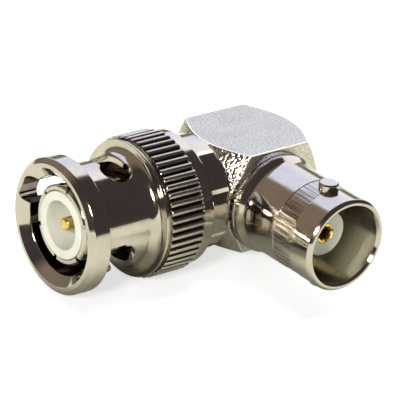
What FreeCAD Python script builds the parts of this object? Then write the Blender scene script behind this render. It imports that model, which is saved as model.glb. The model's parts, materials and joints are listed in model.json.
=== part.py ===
import FreeCAD, Part
import math
import os

import Sketcher

# Right-angle bayonet coaxial adapter: a plug with a knurled coupling nut on one leg of a square
# elbow block, and a jack with two bayonet lugs on the other.
#
# Every piece is drawn with its axis along its own X, measured from the point where the plug axis
# and the jack axis cross, and growing towards the open mouth. Its Placement then turns it onto
# its leg. The part's frame: the plug points to -X, the jack to -Y, the matt flat is up (+Z), and
# the origin is on the jack axis at the bottom of the jack bore, the jack's reference plane.

doc = FreeCAD.newDocument("CoaxAdapter")
sheet = doc.addObject("Spreadsheet::Sheet", "Sizes")

SIZES = {
    # elbow block, a length of square bar turned conical at both ends
    "block_width": 10.68,
    "block_front_corner": 2.82,
    "block_rear_corner": 4.47,
    "block_cone_angle": 39,
    "block_edge_chamfer": 0.12,
    "rear_face_radius": 5.0,
    "neck_radius": 5.15,
    "neck_reach": 9.15,
    "neck_edge_chamfer": 0.15,
    "collar_radius": 5.85,
    "collar_groove_width": 0.54,
    "collar_clearance": 0.13,
    "collar_chamfer": 0.12,
    "cavity_radius": 3.2,
    "cross_bore_radius": 3.0,
    "cap_radius": 3.7,
    "cap_thickness": 1.0,
    "cap_inset": 0.2,
    "cap_chamfer": 0.2,
    "cap_insulator_length": 2.6,
    # jack leg
    "jack_mouth_reach": 17.34,
    "jack_bore_depth": 8.4,
    "jack_bore_radius": 4.07,
    "jack_barrel_radius": 4.8,
    "jack_rim_bevel_length": 0.31,
    "jack_rim_bevel_height": 0.14,
    "jack_lead_in": 0.17,
    "jack_lead_in_length": 0.34,
    "jack_flange_radius": 5.2,
    "jack_flange_length": 1.75,
    "jack_flange_chamfer": 0.12,
    "jack_flange_groove_reach": 0.86,
    "jack_flange_groove_width": 0.16,
    "jack_flange_groove_depth": 0.1,
    "jack_flare_length": 0.4,
    "jack_tail_radius": 4.0,
    "jack_tail_length": 1.9,
    "jack_web_thickness": 0.95,
    "jack_web_clearance": 0.05,
    "lug_setback": 3.4,
    "lug_radius": 1.02,
    "lug_top_radius": 5.5,
    "lug_chamfer": 0.14,
    "band_width": 3.2,
    "band_margin": 0.14,
    "band_depth": 0.05,
    "band_facets": 60,
    "nose_radius": 2.35,
    "nose_setback": 3.2,
    "nose_edge": 0.08,
    "socket_radius": 1.05,
    "socket_bore_radius": 0.685,
    "socket_bore_depth": 5.6,
    "socket_lead_in": 0.14,
    "socket_slots": 4,
    "socket_slot_width": 0.25,
    "socket_slot_length": 4.6,
    "socket_slot_angle": 13,
    "socket_shank_end": 3.0,
    "socket_tail_radius": 0.8,
    "socket_tail_overrun": 1.0,
    # plug leg
    "sleeve_radius": 4.5,
    "sleeve_bore_radius": 3.5,
    "sleeve_end": 5.2,
    "sleeve_flange_radius": 5.67,
    "sleeve_flange_thickness": 0.95,
    "gasket_thickness": 1.1,
    "gasket_radius": 4.85,
    "gasket_edge": 0.18,
    "fit_gap": 0.05,
    "basket_radius": 3.95,
    "basket_tip_radius": 4.04,
    "basket_tip_length": 0.9,
    "basket_tip_bevel": 0.18,
    "basket_tip_ramp": 0.54,
    "basket_length": 9.1,
    "basket_seat_depth": 2.5,
    "basket_slot_width": 0.42,
    "basket_slot_length": 6.2,
    "basket_slots": 6,
    "basket_slot_angle": 20,
    "cup_length": 9.22,
    "cup_radius": 3.42,
    "cup_recess_radius": 2.45,
    "cup_recess_depth": 4.6,
    "cup_lip": 0.1,
    "pin_setback": 0.42,
    "pin_radius": 0.675,
    "pin_tip_round": 0.42,
    "pin_shank_back": 3.6,
    "pin_shank_radius": 0.95,
    "pin_tail_radius": 0.5,
    "pin_tail_overrun": 1.3,
    # coupling nut and the stack that springs it back
    "nut_flange_radius": 6.84,
    "nut_flange_thickness": 2.14,
    "nut_flange_edge": 0.1,
    "nut_rim_bevel_length": 0.44,
    "nut_rim_bevel_height": 0.5,
    "nut_mouth_radius": 5.95,
    "nut_mouth_depth": 0.82,
    "nut_barrel_radius": 5.55,
    "nut_bore_radius": 4.97,
    "nut_chamber_radius": 5.75,
    "nut_chamber_setback": 0.6,
    "nut_shoulder_depth": 8.72,
    "nut_shoulder_radius": 6.95,
    "nut_shoulder_width": 0.25,
    "nut_flare_radius": 1.05,
    "nut_groove_width": 0.35,
    "nut_groove_radius": 6.6,
    "knurl_radius": 7.2,
    "knurl_length": 3.89,
    "knurl_depth": 0.38,
    "knurl_floor_width": 0.05,
    "knurl_crest_width": 0.03,
    "knurl_knee_depth": 0.08,
    "knurl_knee_width": 0.42,
    "knurl_ridges": 52,
    "nut_tail_length": 1.58,
    "nut_tail_radius": 6.84,
    "nut_tail_bevel": 0.28,
    "nut_back_chamfer": 0.15,
    "entry_angle": 156,
    "entry_width": 3.4,
    "entry_radius": 5.85,
    "entry_corner": 0.8,
    "cam_width": 2.3,
    "cam_start_depth": 4.97,
    "cam_start_radius": 1.4,
    "cam_rise": 1.5,
    "cam_ramp_sweep": 46,
    "cam_dwell_sweep": 32,
    "detent_angle": 75,
    "detent_radius": 1.55,
    "detent_shift": 0.25,
    "ring_groove_radius": 6.08,
    "ring_groove_play": 0.06,
    "ring_groove_lip": 1.26,
    "ring_radius": 6.0,
    "ring_thickness": 0.7,
    "ring_gap": 1.6,
    "ring_bore_clearance": 0.1,
    "washer_thickness": 0.25,
    "washer_radius": 5.6,
    "spring_thickness": 0.2,
    "spring_waves": 3,
    "spring_seat_gap": 0.02,
    "spring_room": 1.15,
}

# Edges of one piece that lie on another, written once as formulas of the sizes above.
HALF = "Sizes.block_width / 2"
JACK_REFERENCE = "(Sizes.jack_mouth_reach - Sizes.jack_bore_depth)"
JACK_TAIL_END = "(Sizes.block_width / 2 - Sizes.jack_tail_length)"
JACK_WEB_BACK = "(Sizes.jack_mouth_reach - Sizes.jack_bore_depth - Sizes.jack_web_thickness)"
LUG_REACH = "(Sizes.jack_mouth_reach - Sizes.lug_setback)"
NOSE_REACH = "(Sizes.jack_mouth_reach - Sizes.nose_setback)"
REAR_FACE = ("(Sizes.block_rear_corner + tan(Sizes.block_cone_angle)"
             " * (Sizes.block_width / sqrt(2) - Sizes.rear_face_radius))")
CAP_SEAT = f"({REAR_FACE} - Sizes.cap_inset - Sizes.cap_thickness)"
CONE_FOOT = ("(Sizes.block_front_corner + tan(Sizes.block_cone_angle)"
             " * (Sizes.block_width / sqrt(2) - Sizes.neck_radius))")

# The plug's leg, in order from the neck to the mouth: ring, washer, spring, washer, sleeve flange.
RING_BACK = "(Sizes.neck_reach + Sizes.fit_gap)"
RING_FRONT = f"({RING_BACK} + Sizes.ring_thickness)"
REAR_WASHER_FRONT = f"({RING_FRONT} + Sizes.washer_thickness)"
FRONT_WASHER_BACK = f"({REAR_WASHER_FRONT} + Sizes.spring_room)"
SLEEVE_FLANGE_BACK = f"({FRONT_WASHER_BACK} + Sizes.washer_thickness)"
GASKET_SEAT = f"({SLEEVE_FLANGE_BACK} + Sizes.sleeve_flange_thickness)"
BASKET_SEAT = f"({GASKET_SEAT} - Sizes.basket_seat_depth)"
BASKET_REACH = f"({GASKET_SEAT} + Sizes.basket_length)"
CUP_REACH = f"({GASKET_SEAT} + Sizes.cup_length)"
CUP_FLOOR = f"({CUP_REACH} - Sizes.cup_recess_depth)"
PIN_TIP = f"({CUP_REACH} - Sizes.pin_setback)"
STACK_BORE = "(Sizes.sleeve_radius + Sizes.ring_bore_clearance)"

# The nut, in order from its tail to its mouth.
RING_GROOVE_BACK = f"({RING_BACK} - Sizes.ring_groove_play)"
RING_GROOVE_FRONT = f"({RING_FRONT} + Sizes.ring_groove_play)"
NUT_BACK = f"({RING_GROOVE_BACK} - Sizes.ring_groove_lip)"
KNURL_BACK = f"({NUT_BACK} + Sizes.nut_tail_length)"
KNURL_FRONT = f"({KNURL_BACK} + Sizes.knurl_length)"
GROOVE_FRONT = f"({KNURL_FRONT} + Sizes.nut_groove_width)"
SHOULDER_FRONT = f"({GROOVE_FRONT} + Sizes.nut_shoulder_width)"
CHAMBER_FRONT = f"({SHOULDER_FRONT} - Sizes.nut_chamber_setback)"
NUT_FRONT = f"({SHOULDER_FRONT} + Sizes.nut_shoulder_depth)"
CAM_START = f"({NUT_FRONT} - Sizes.cam_start_depth)"
CAM_DWELL = f"({CAM_START} - Sizes.cam_rise)"
CAM_DWELL_ANGLE = "(Sizes.entry_angle - Sizes.cam_ramp_sweep)"
DETENT = f"({CAM_DWELL} + Sizes.detent_shift)"

# The collar on the neck, between the cone's foot and the back of the nut.
COLLAR_BACK = f"({CONE_FOOT} + Sizes.collar_groove_width)"
COLLAR_FRONT = f"({NUT_BACK} - Sizes.collar_clearance)"

# Room by which a cutting tool runs past the metal, and the turns onto the two legs.
OVERCUT = 0.5
PLUG_TURN = 180
JACK_TURN = -90


def fill_sheet():
    for row, (alias, value) in enumerate(SIZES.items(), start=1):
        sheet.set(f"A{row}", alias.replace("_", " "))
        sheet.set(f"B{row}", str(value))
        sheet.setAlias(f"B{row}", alias)
    doc.recompute()


def number(formula):
    """The present value of a formula of the sizes, in mm or degrees."""
    result = sheet.evalExpression(str(formula))
    return float(getattr(result, "Value", result))


def new_body(label, turn):
    """A body for one piece, turned about Z onto its leg and set over the part's origin."""
    body = doc.addObject("PartDesign::Body", label)
    body.Label = label
    body.Placement = FreeCAD.Placement(
        FreeCAD.Vector(0, number(JACK_REFERENCE), 0), FreeCAD.Rotation(FreeCAD.Vector(0, 0, 1), turn))
    body.setExpression("Placement.Base.y", JACK_REFERENCE)
    return body


def origin_part(body, role):
    return next(part for part in body.Origin.OriginFeatures if part.Role == role)


def new_sketch(body, name, plane="XZ_Plane", shift=None, spin=None, spin_axis=(0, 0, 1)):
    """A sketch on one of the body's own planes, moved along and turned about it by formulas."""
    sketch = body.newObject("Sketcher::SketchObject", name)
    sketch.AttachmentSupport = [(origin_part(body, plane), "")]
    sketch.MapMode = "FlatFace"
    move = FreeCAD.Vector(0, 0, number(shift) if shift else 0)
    turn = FreeCAD.Rotation(FreeCAD.Vector(*spin_axis), number(spin) if spin else 0)
    sketch.AttachmentOffset = FreeCAD.Placement(move, turn)
    if shift:
        sketch.setExpression("AttachmentOffset.Base.z", str(shift))
    if spin:
        sketch.setExpression("AttachmentOffset.Rotation.Angle", str(spin))
    return sketch


def fix_point(sketch, end, name, across, up):
    """Fix one end of a line or arc by two formulas, measured from the sketch's origin."""
    for axis, kind, formula in ((-2, "DistanceX", across), (-1, "DistanceY", up)):
        if str(formula) == "0":
            sketch.addConstraint(Sketcher.Constraint("PointOnObject", *end, axis))
            continue
        index = sketch.addConstraint(Sketcher.Constraint(kind, -1, 1, *end, number(formula)))
        label = f"{name}_{kind[-1].lower()}"
        sketch.renameConstraint(index, label)
        sketch.setExpression(f"Constraints.{label}", str(formula))


def arc_between(start, end, radius, side):
    """The short arc from start to end, with its centre left (1) or right (-1) of the chord.
    Also says which of its own two ends, counted anticlockwise, the chain comes in and goes out by."""
    chord = end - start
    left = FreeCAD.Vector(-chord.y, chord.x, 0).normalize()
    height = math.sqrt(max(radius ** 2 - (chord.Length / 2) ** 2, 0))
    centre = (start + end) * 0.5 + left * height * side
    circle = Part.Circle(centre, FreeCAD.Vector(0, 0, 1), radius)
    first, last = (start, end) if side > 0 else (end, start)
    angles = [math.atan2(p.y - centre.y, p.x - centre.x) for p in (first, last)]
    if angles[1] < angles[0]:
        angles[1] += 2 * math.pi
    return Part.ArcOfCircle(circle, *angles), ((1, 2) if side > 0 else (2, 1))


def outline(sketch, corners):
    """A closed outline. A corner is (across, up), or (across, up, radius, side) where an arc of
    that radius leads to the next corner."""
    spots = [FreeCAD.Vector(number(c[0]), number(c[1]), 0) for c in corners]
    ends = []
    for i, corner in enumerate(corners):
        start, end = spots[i], spots[(i + 1) % len(spots)]
        if len(corner) == 2:
            sketch.addGeometry(Part.LineSegment(start, end))
            ends.append((1, 2))
            continue
        arc, order = arc_between(start, end, number(corner[2]), corner[3])
        sketch.addGeometry(arc)
        ends.append(order)
    for i, corner in enumerate(corners):
        after = (i + 1) % len(corners)
        sketch.addConstraint(Sketcher.Constraint("Coincident", i, ends[i][1], after, ends[after][0]))
        fix_point(sketch, (i, ends[i][0]), f"p{i}", corner[0], corner[1])
        if len(corner) > 2:
            index = sketch.addConstraint(Sketcher.Constraint("Radius", i, number(corner[2])))
            sketch.renameConstraint(index, f"p{i}_radius")
            sketch.setExpression(f"Constraints.p{i}_radius", str(corner[2]))
    return sketch


def round_outline(sketch, across, up, radius):
    """A full circle, placed and sized by formulas."""
    centre = FreeCAD.Vector(number(across), number(up), 0)
    sketch.addGeometry(Part.Circle(centre, FreeCAD.Vector(0, 0, 1), number(radius)))
    fix_point(sketch, (0, 3), "centre", across, up)
    index = sketch.addConstraint(Sketcher.Constraint("Radius", 0, number(radius)))
    sketch.renameConstraint(index, "radius")
    sketch.setExpression("Constraints.radius", str(radius))
    return sketch


def turn(body, name, corners, cut=False):
    """Turn an outline, drawn as (reach, radius) corners, round the piece's axis."""
    sketch = outline(new_sketch(body, f"{name}_outline"), corners)
    feature = body.newObject("PartDesign::Groove" if cut else "PartDesign::Revolution", name)
    feature.Profile = sketch
    feature.ReferenceAxis = (sketch, ["H_Axis"])
    feature.Angle = 360
    return feature


def pad(body, name, sketch, length, both_ways=False):
    feature = body.newObject("PartDesign::Pad", name)
    feature.Profile = sketch
    feature.setExpression("Length", str(length))
    feature.Midplane = both_ways
    return feature


def pocket(body, name, sketch, length, forward=False, both_ways=False):
    """Cut against the sketch's normal, or along it where forward is set."""
    feature = body.newObject("PartDesign::Pocket", name)
    feature.Profile = sketch
    feature.setExpression("Length", str(length))
    feature.Reversed = forward
    feature.Midplane = both_ways
    return feature


def repeat_round(body, name, features, count):
    """Repeat features evenly round the piece's axis."""
    pattern = body.newObject("PartDesign::PolarPattern", name)
    pattern.Originals = features
    pattern.Axis = (origin_part(body, "X_Axis"), [""])
    pattern.Angle = 360
    pattern.setExpression("Occurrences", str(count))
    body.Tip = pattern
    return pattern


def chamfer(body, name, feature, size, wanted):
    """Chamfer the edges of a feature that the test picks."""
    doc.recompute()
    names = [f"Edge{i}" for i, edge in enumerate(feature.Shape.Edges, start=1) if wanted(edge)]
    bevel = body.newObject("PartDesign::Chamfer", name)
    bevel.Base = (feature, names)
    bevel.setExpression("Size", str(size))
    return bevel


def ring(label, turn_angle, back, front, inner, outer):
    """A plain flat ring between two places along the axis."""
    body = new_body(label, turn_angle)
    turn(body, f"{label}_turned", [(back, inner), (front, inner), (front, outer), (back, outer)])
    return body


def elbow_body():
    """Square bar, turned conical at both ends, with a round collared neck towards the plug."""
    body = new_body("elbow_body", PLUG_TURN)
    square = outline(new_sketch(body, "bar_section", "YZ_Plane", f"-{REAR_FACE}"), [
        (f"-{HALF}", f"-{HALF}"), (HALF, f"-{HALF}"), (HALF, HALF), (f"-{HALF}", HALF)])
    bar = pad(body, "bar", square, f"{REAR_FACE} + Sizes.neck_reach")
    chamfer(body, "bar_edges", bar, "Sizes.block_edge_chamfer",
            lambda edge: edge.BoundBox.XLength > edge.BoundBox.YLength + edge.BoundBox.ZLength)
    rim = f"Sizes.block_width / sqrt(2) + {OVERCUT}"
    slope = f"tan(Sizes.block_cone_angle) * {OVERCUT}"
    front = f"Sizes.neck_reach + {OVERCUT}"
    step = "Sizes.neck_radius - Sizes.neck_edge_chamfer"
    turn(body, "front_cone_and_neck", [
        (front, step), ("Sizes.neck_reach", step),
        ("Sizes.neck_reach - Sizes.neck_edge_chamfer", "Sizes.neck_radius"),
        (CONE_FOOT, "Sizes.neck_radius"), (f"Sizes.block_front_corner - {slope}", rim),
        (front, rim)], cut=True)
    shy = "Sizes.collar_radius - Sizes.collar_chamfer"
    turn(body, "neck_collar", [
        (COLLAR_BACK, "0"), (COLLAR_FRONT, "0"), (COLLAR_FRONT, shy),
        (f"{COLLAR_FRONT} - Sizes.collar_chamfer", "Sizes.collar_radius"),
        (f"{COLLAR_BACK} + Sizes.collar_chamfer", "Sizes.collar_radius"), (COLLAR_BACK, shy)])
    back = f"-{REAR_FACE} - {OVERCUT}"
    turn(body, "rear_cone", [
        (back, "Sizes.rear_face_radius"), (f"-{REAR_FACE}", "Sizes.rear_face_radius"),
        (f"-Sizes.block_rear_corner + {slope}", rim), (back, rim)], cut=True)
    turn(body, "plug_axis_bores", [
        (front, "0"), (front, "Sizes.sleeve_radius"),
        ("Sizes.sleeve_end", "Sizes.sleeve_radius"), ("Sizes.sleeve_end", "Sizes.cavity_radius"),
        (f"-{CAP_SEAT}", "Sizes.cavity_radius"), (f"-{CAP_SEAT}", "Sizes.cap_radius"),
        (back, "Sizes.cap_radius"), (back, "0")], cut=True)
    cross = round_outline(new_sketch(body, "cross_bore_circle"), "0", "0", "Sizes.cross_bore_radius")
    pocket(body, "cross_bore", cross, HALF)
    seat = round_outline(new_sketch(body, "jack_seat_circle", shift=f"-{HALF}"),
                         "0", "0", "Sizes.jack_tail_radius")
    pocket(body, "jack_seat", seat, "Sizes.jack_tail_length", forward=True)


def access_cap():
    """The disc pressed into the rear bore once the centre conductors are soldered."""
    body = new_body("access_cap", PLUG_TURN)
    face = f"-({CAP_SEAT} + Sizes.cap_thickness)"
    turn(body, "cap_turned", [
        (f"-{CAP_SEAT}", "0"), (f"-{CAP_SEAT}", "Sizes.cap_radius"),
        (f"{face} + Sizes.cap_chamfer", "Sizes.cap_radius"),
        (face, "Sizes.cap_radius - Sizes.cap_chamfer"), (face, "0")])


def cap_insulator():
    """The white disc behind the solder joint."""
    body = new_body("cap_insulator", PLUG_TURN)
    front = f"Sizes.cap_insulator_length - {CAP_SEAT}"
    turn(body, "disc_turned", [
        (f"-{CAP_SEAT}", "0"), (f"-{CAP_SEAT}", "Sizes.cavity_radius"),
        (front, "Sizes.cavity_radius"), (front, "0")])


def jack_shell():
    """The jack's outer contact: tail pressed into the block, flange, barrel with narrow flats
    milled round it at the lugs, and two lugs."""
    body = new_body("jack_shell", JACK_TURN)
    flange = f"{HALF} + Sizes.jack_flange_length"
    line = f"{HALF} + Sizes.jack_flange_groove_reach"
    half_line = "Sizes.jack_flange_groove_width / 2"
    turn(body, "shell_blank", [
        (JACK_TAIL_END, "0"), (JACK_TAIL_END, "Sizes.jack_tail_radius"),
        (HALF, "Sizes.jack_tail_radius"),
        (HALF, "Sizes.jack_flange_radius - Sizes.jack_flange_chamfer"),
        (f"{HALF} + Sizes.jack_flange_chamfer", "Sizes.jack_flange_radius"),
        (f"{line} - {half_line}", "Sizes.jack_flange_radius"),
        (line, "Sizes.jack_flange_radius - Sizes.jack_flange_groove_depth"),
        (f"{line} + {half_line}", "Sizes.jack_flange_radius"),
        (flange, "Sizes.jack_flange_radius"),
        (f"{flange} + Sizes.jack_flare_length", "Sizes.jack_barrel_radius"),
        ("Sizes.jack_mouth_reach - Sizes.jack_rim_bevel_length", "Sizes.jack_barrel_radius"),
        ("Sizes.jack_mouth_reach", "Sizes.jack_barrel_radius - Sizes.jack_rim_bevel_height"),
        ("Sizes.jack_mouth_reach", "0")])
    flat_radius = "Sizes.jack_barrel_radius - Sizes.band_depth"
    half_flat = f"({flat_radius}) * tan(180 / Sizes.band_facets)"
    band_front = f"{LUG_REACH} + Sizes.lug_radius + Sizes.band_margin"
    flat = outline(new_sketch(body, "band_flat", "YZ_Plane", band_front), [
        (flat_radius, f"-{half_flat}"), (flat_radius, half_flat),
        (f"Sizes.jack_barrel_radius + {OVERCUT}", f"2 * {half_flat}"),
        (f"Sizes.jack_barrel_radius + {OVERCUT}", f"-2 * {half_flat}")])
    milled = pocket(body, "band_cut", flat, "Sizes.band_width")
    repeat_round(body, "milled_band", [milled], "Sizes.band_facets")
    lug = round_outline(new_sketch(body, "lug_circle", "XY_Plane"), LUG_REACH, "0", "Sizes.lug_radius")
    lugs = pad(body, "lugs", lug, "2 * Sizes.lug_top_radius", both_ways=True)
    top = number("Sizes.lug_top_radius") - 0.01
    chamfer(body, "lug_tops", lugs, "Sizes.lug_chamfer",
            lambda edge: abs(edge.CenterOfMass.z) > top and edge.BoundBox.ZLength < 0.01)
    mouth = f"Sizes.jack_mouth_reach + {OVERCUT}"
    bell = "Sizes.jack_bore_radius + Sizes.jack_lead_in"
    web = "Sizes.nose_radius + Sizes.jack_web_clearance"
    end = f"{JACK_TAIL_END} - {OVERCUT}"
    turn(body, "jack_bore", [
        (mouth, "0"), (mouth, bell), ("Sizes.jack_mouth_reach", bell),
        ("Sizes.jack_mouth_reach - Sizes.jack_lead_in_length", "Sizes.jack_bore_radius"),
        (JACK_REFERENCE, "Sizes.jack_bore_radius"), (JACK_REFERENCE, web), (JACK_WEB_BACK, web),
        (JACK_WEB_BACK, "Sizes.cavity_radius"), (end, "Sizes.cavity_radius"), (end, "0")], cut=True)


def jack_insulator():
    """The white rod that carries the socket, with its nose standing in the jack bore."""
    body = new_body("jack_insulator", JACK_TURN)
    turn(body, "rod_turned", [
        (JACK_TAIL_END, "Sizes.socket_radius"), (NOSE_REACH, "Sizes.socket_radius"),
        (NOSE_REACH, "Sizes.nose_radius - Sizes.nose_edge"),
        (f"{NOSE_REACH} - Sizes.nose_edge", "Sizes.nose_radius"),
        (JACK_WEB_BACK, "Sizes.nose_radius"), (JACK_WEB_BACK, "Sizes.cavity_radius"),
        (JACK_TAIL_END, "Sizes.cavity_radius")])


def jack_contact():
    """The slotted gold socket, whose tail is cross-drilled for the plug pin's tail."""
    body = new_body("jack_contact", JACK_TURN)
    tail = "-Sizes.socket_tail_overrun"
    floor = f"{NOSE_REACH} - Sizes.socket_bore_depth"
    turn(body, "socket_turned", [
        (tail, "0"), (tail, "Sizes.socket_tail_radius"),
        ("Sizes.socket_shank_end", "Sizes.socket_tail_radius"),
        ("Sizes.socket_shank_end", "Sizes.socket_radius"), (NOSE_REACH, "Sizes.socket_radius"),
        (NOSE_REACH, "Sizes.socket_bore_radius + Sizes.socket_lead_in"),
        (f"{NOSE_REACH} - Sizes.socket_lead_in", "Sizes.socket_bore_radius"),
        (floor, "Sizes.socket_bore_radius"), (f"{floor} - Sizes.socket_bore_radius", "0")])
    half = "Sizes.socket_slot_width / 2"
    slot = outline(new_sketch(body, "slot_section", "YZ_Plane", NOSE_REACH, "Sizes.socket_slot_angle"), [
        ("0", f"-{half}"), (f"Sizes.socket_radius + {OVERCUT}", f"-{half}"),
        (f"Sizes.socket_radius + {OVERCUT}", half), ("0", half)])
    cut = pocket(body, "slot", slot, "Sizes.socket_slot_length")
    repeat_round(body, "slots", [cut], "Sizes.socket_slots")
    hole = round_outline(new_sketch(body, "tail_hole_circle"), "0", "0", "Sizes.pin_tail_radius")
    pocket(body, "tail_hole", hole, f"2 * (Sizes.socket_tail_radius + {OVERCUT})", both_ways=True)


def plug_sleeve():
    """The plug's inner body: a tube pressed into the neck, with the flange that backs the spring."""
    body = new_body("plug_sleeve", PLUG_TURN)
    turn(body, "sleeve_turned", [
        ("Sizes.sleeve_end", "Sizes.sleeve_bore_radius"), (BASKET_SEAT, "Sizes.sleeve_bore_radius"),
        (BASKET_SEAT, "Sizes.basket_radius"), (GASKET_SEAT, "Sizes.basket_radius"),
        (GASKET_SEAT, "Sizes.sleeve_flange_radius"),
        (SLEEVE_FLANGE_BACK, "Sizes.sleeve_flange_radius"),
        (SLEEVE_FLANGE_BACK, "Sizes.sleeve_radius"), ("Sizes.sleeve_end", "Sizes.sleeve_radius")])


def plug_outer_contact():
    """The slotted spring tube that grips the inside of the mating jack."""
    body = new_body("plug_outer_contact", PLUG_TURN)
    swell = f"{BASKET_REACH} - Sizes.basket_tip_length"
    turn(body, "basket_turned", [
        (BASKET_SEAT, "Sizes.sleeve_bore_radius"), (BASKET_REACH, "Sizes.sleeve_bore_radius"),
        (BASKET_REACH, "Sizes.basket_tip_radius - Sizes.basket_tip_bevel"),
        (f"{BASKET_REACH} - Sizes.basket_tip_bevel", "Sizes.basket_tip_radius"),
        (swell, "Sizes.basket_tip_radius"), (f"{swell} - Sizes.basket_tip_ramp", "Sizes.basket_radius"),
        (BASKET_SEAT, "Sizes.basket_radius")])
    half = "Sizes.basket_slot_width / 2"
    far = f"Sizes.basket_tip_radius + {OVERCUT}"
    slot = outline(new_sketch(body, "slot_section", "YZ_Plane", BASKET_REACH,
                              "Sizes.basket_slot_angle"), [
        ("0", f"-{half}"), (far, f"-{half}"), (far, half), ("0", half)])
    cut = pocket(body, "slot", slot, "Sizes.basket_slot_length")
    repeat_round(body, "slots", [cut], "Sizes.basket_slots")


def plug_insulator():
    """The white rod through the sleeve, hollowed to a cup round the pin."""
    body = new_body("plug_insulator", PLUG_TURN)
    turn(body, "cup_turned", [
        ("Sizes.sleeve_end", "Sizes.pin_shank_radius"), (CUP_FLOOR, "Sizes.pin_shank_radius"),
        (CUP_FLOOR, "Sizes.cup_recess_radius"), (CUP_REACH, "Sizes.cup_recess_radius"),
        (CUP_REACH, "Sizes.cup_radius - Sizes.cup_lip"),
        (f"{CUP_REACH} - Sizes.cup_lip", "Sizes.cup_radius"), (GASKET_SEAT, "Sizes.cup_radius"),
        (GASKET_SEAT, "Sizes.sleeve_bore_radius"), ("Sizes.sleeve_end", "Sizes.sleeve_bore_radius")])


def plug_pin():
    """The gold centre pin, with its tail through the socket's tail."""
    body = new_body("plug_pin", PLUG_TURN)
    tail = "-Sizes.pin_tail_overrun"
    turn(body, "pin_turned", [
        (tail, "0"), (tail, "Sizes.pin_tail_radius"), ("Sizes.pin_shank_back", "Sizes.pin_tail_radius"),
        ("Sizes.pin_shank_back", "Sizes.pin_shank_radius"),
        (CUP_FLOOR, "Sizes.pin_shank_radius"), (CUP_FLOOR, "Sizes.pin_radius"),
        (f"{PIN_TIP} - Sizes.pin_tip_round", "Sizes.pin_radius", "Sizes.pin_tip_round", -1),
        (PIN_TIP, "Sizes.pin_radius - Sizes.pin_tip_round"), (PIN_TIP, "0")])


def gasket():
    """The soft ring that seals against the mating jack's rim."""
    body = new_body("gasket", PLUG_TURN)
    inner = "Sizes.basket_radius + Sizes.fit_gap"
    face = f"{GASKET_SEAT} + Sizes.gasket_thickness"
    turn(body, "gasket_turned", [
        (GASKET_SEAT, inner), (face, inner), (face, "Sizes.gasket_radius - Sizes.gasket_edge"),
        (f"{face} - Sizes.gasket_edge", "Sizes.gasket_radius"), (GASKET_SEAT, "Sizes.gasket_radius")])


def snap_ring():
    """The split ring that sits in the nut's groove and pushes on the spring stack."""
    body = ring("snap_ring", PLUG_TURN, RING_BACK, RING_FRONT, STACK_BORE, "Sizes.ring_radius")
    half = "Sizes.ring_gap / 2"
    gap = outline(new_sketch(body, "gap_section", "YZ_Plane", RING_FRONT), [
        (f"-{half}", f"-Sizes.ring_radius - {OVERCUT}"), (half, f"-Sizes.ring_radius - {OVERCUT}"),
        (half, "0"), (f"-{half}", "0")])
    pocket(body, "ring_gap", gap, "Sizes.ring_thickness")


def wave_spring():
    """A thin ring bent into even waves, as high as the room between the two flat washers."""
    inner, outer = number(STACK_BORE), number("Sizes.washer_radius")
    thickness, seat_gap = number("Sizes.spring_thickness"), number("Sizes.spring_seat_gap")
    back = number(REAR_WASHER_FRONT) + seat_gap
    front = number(FRONT_WASHER_BACK) - seat_gap - thickness
    waves = int(number("Sizes.spring_waves"))
    points_per_wave = 8

    def rim(radius):
        spots = []
        for i in range(waves * points_per_wave):
            phase = 2 * math.pi * i / points_per_wave
            angle = phase / waves
            height = (back + front) / 2 + (front - back) / 2 * math.cos(phase)
            spots.append(FreeCAD.Vector(height, radius * math.cos(angle), radius * math.sin(angle)))
        curve = Part.BSplineCurve()
        curve.interpolate(Points=spots, PeriodicFlag=True)
        return curve.toShape()

    face = Part.makeRuledSurface(rim(inner), rim(outer))
    spring = doc.addObject("Part::Feature", "wave_spring")
    spring.Label = "wave_spring"
    spring.Shape = face.extrude(FreeCAD.Vector(thickness, 0, 0))
    spring.Placement = FreeCAD.Placement(
        FreeCAD.Vector(0, number(JACK_REFERENCE), 0),
        FreeCAD.Rotation(FreeCAD.Vector(0, 0, 1), PLUG_TURN))


def nut_blank(body):
    """The nut's outside: flange, barrel, flare up to a shoulder, groove, knurl band and tail."""
    back_of_flange = f"{NUT_FRONT} - Sizes.nut_flange_thickness"
    turn(body, "nut_blank", [
        (NUT_FRONT, "0"), (NUT_FRONT, "Sizes.nut_flange_radius - Sizes.nut_rim_bevel_height"),
        (f"{NUT_FRONT} - Sizes.nut_rim_bevel_length", "Sizes.nut_flange_radius"),
        (f"{back_of_flange} + Sizes.nut_flange_edge", "Sizes.nut_flange_radius"),
        (back_of_flange, "Sizes.nut_flange_radius - Sizes.nut_flange_edge"),
        (back_of_flange, "Sizes.nut_barrel_radius"),
        (f"{SHOULDER_FRONT} + Sizes.nut_flare_radius", "Sizes.nut_barrel_radius",
         "Sizes.nut_flare_radius", -1),
        (SHOULDER_FRONT, "Sizes.nut_barrel_radius + Sizes.nut_flare_radius"),
        (SHOULDER_FRONT, "Sizes.nut_shoulder_radius"), (GROOVE_FRONT, "Sizes.nut_shoulder_radius"),
        (GROOVE_FRONT, "Sizes.nut_groove_radius"), (KNURL_FRONT, "Sizes.nut_groove_radius"),
        (KNURL_FRONT, "Sizes.knurl_radius"), (KNURL_BACK, "Sizes.knurl_radius"),
        (KNURL_BACK, "Sizes.nut_tail_radius"),
        (f"{NUT_BACK} + Sizes.nut_tail_bevel", "Sizes.nut_tail_radius"),
        (NUT_BACK, "Sizes.nut_tail_radius - Sizes.nut_tail_bevel"), (NUT_BACK, "0")])


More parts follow.
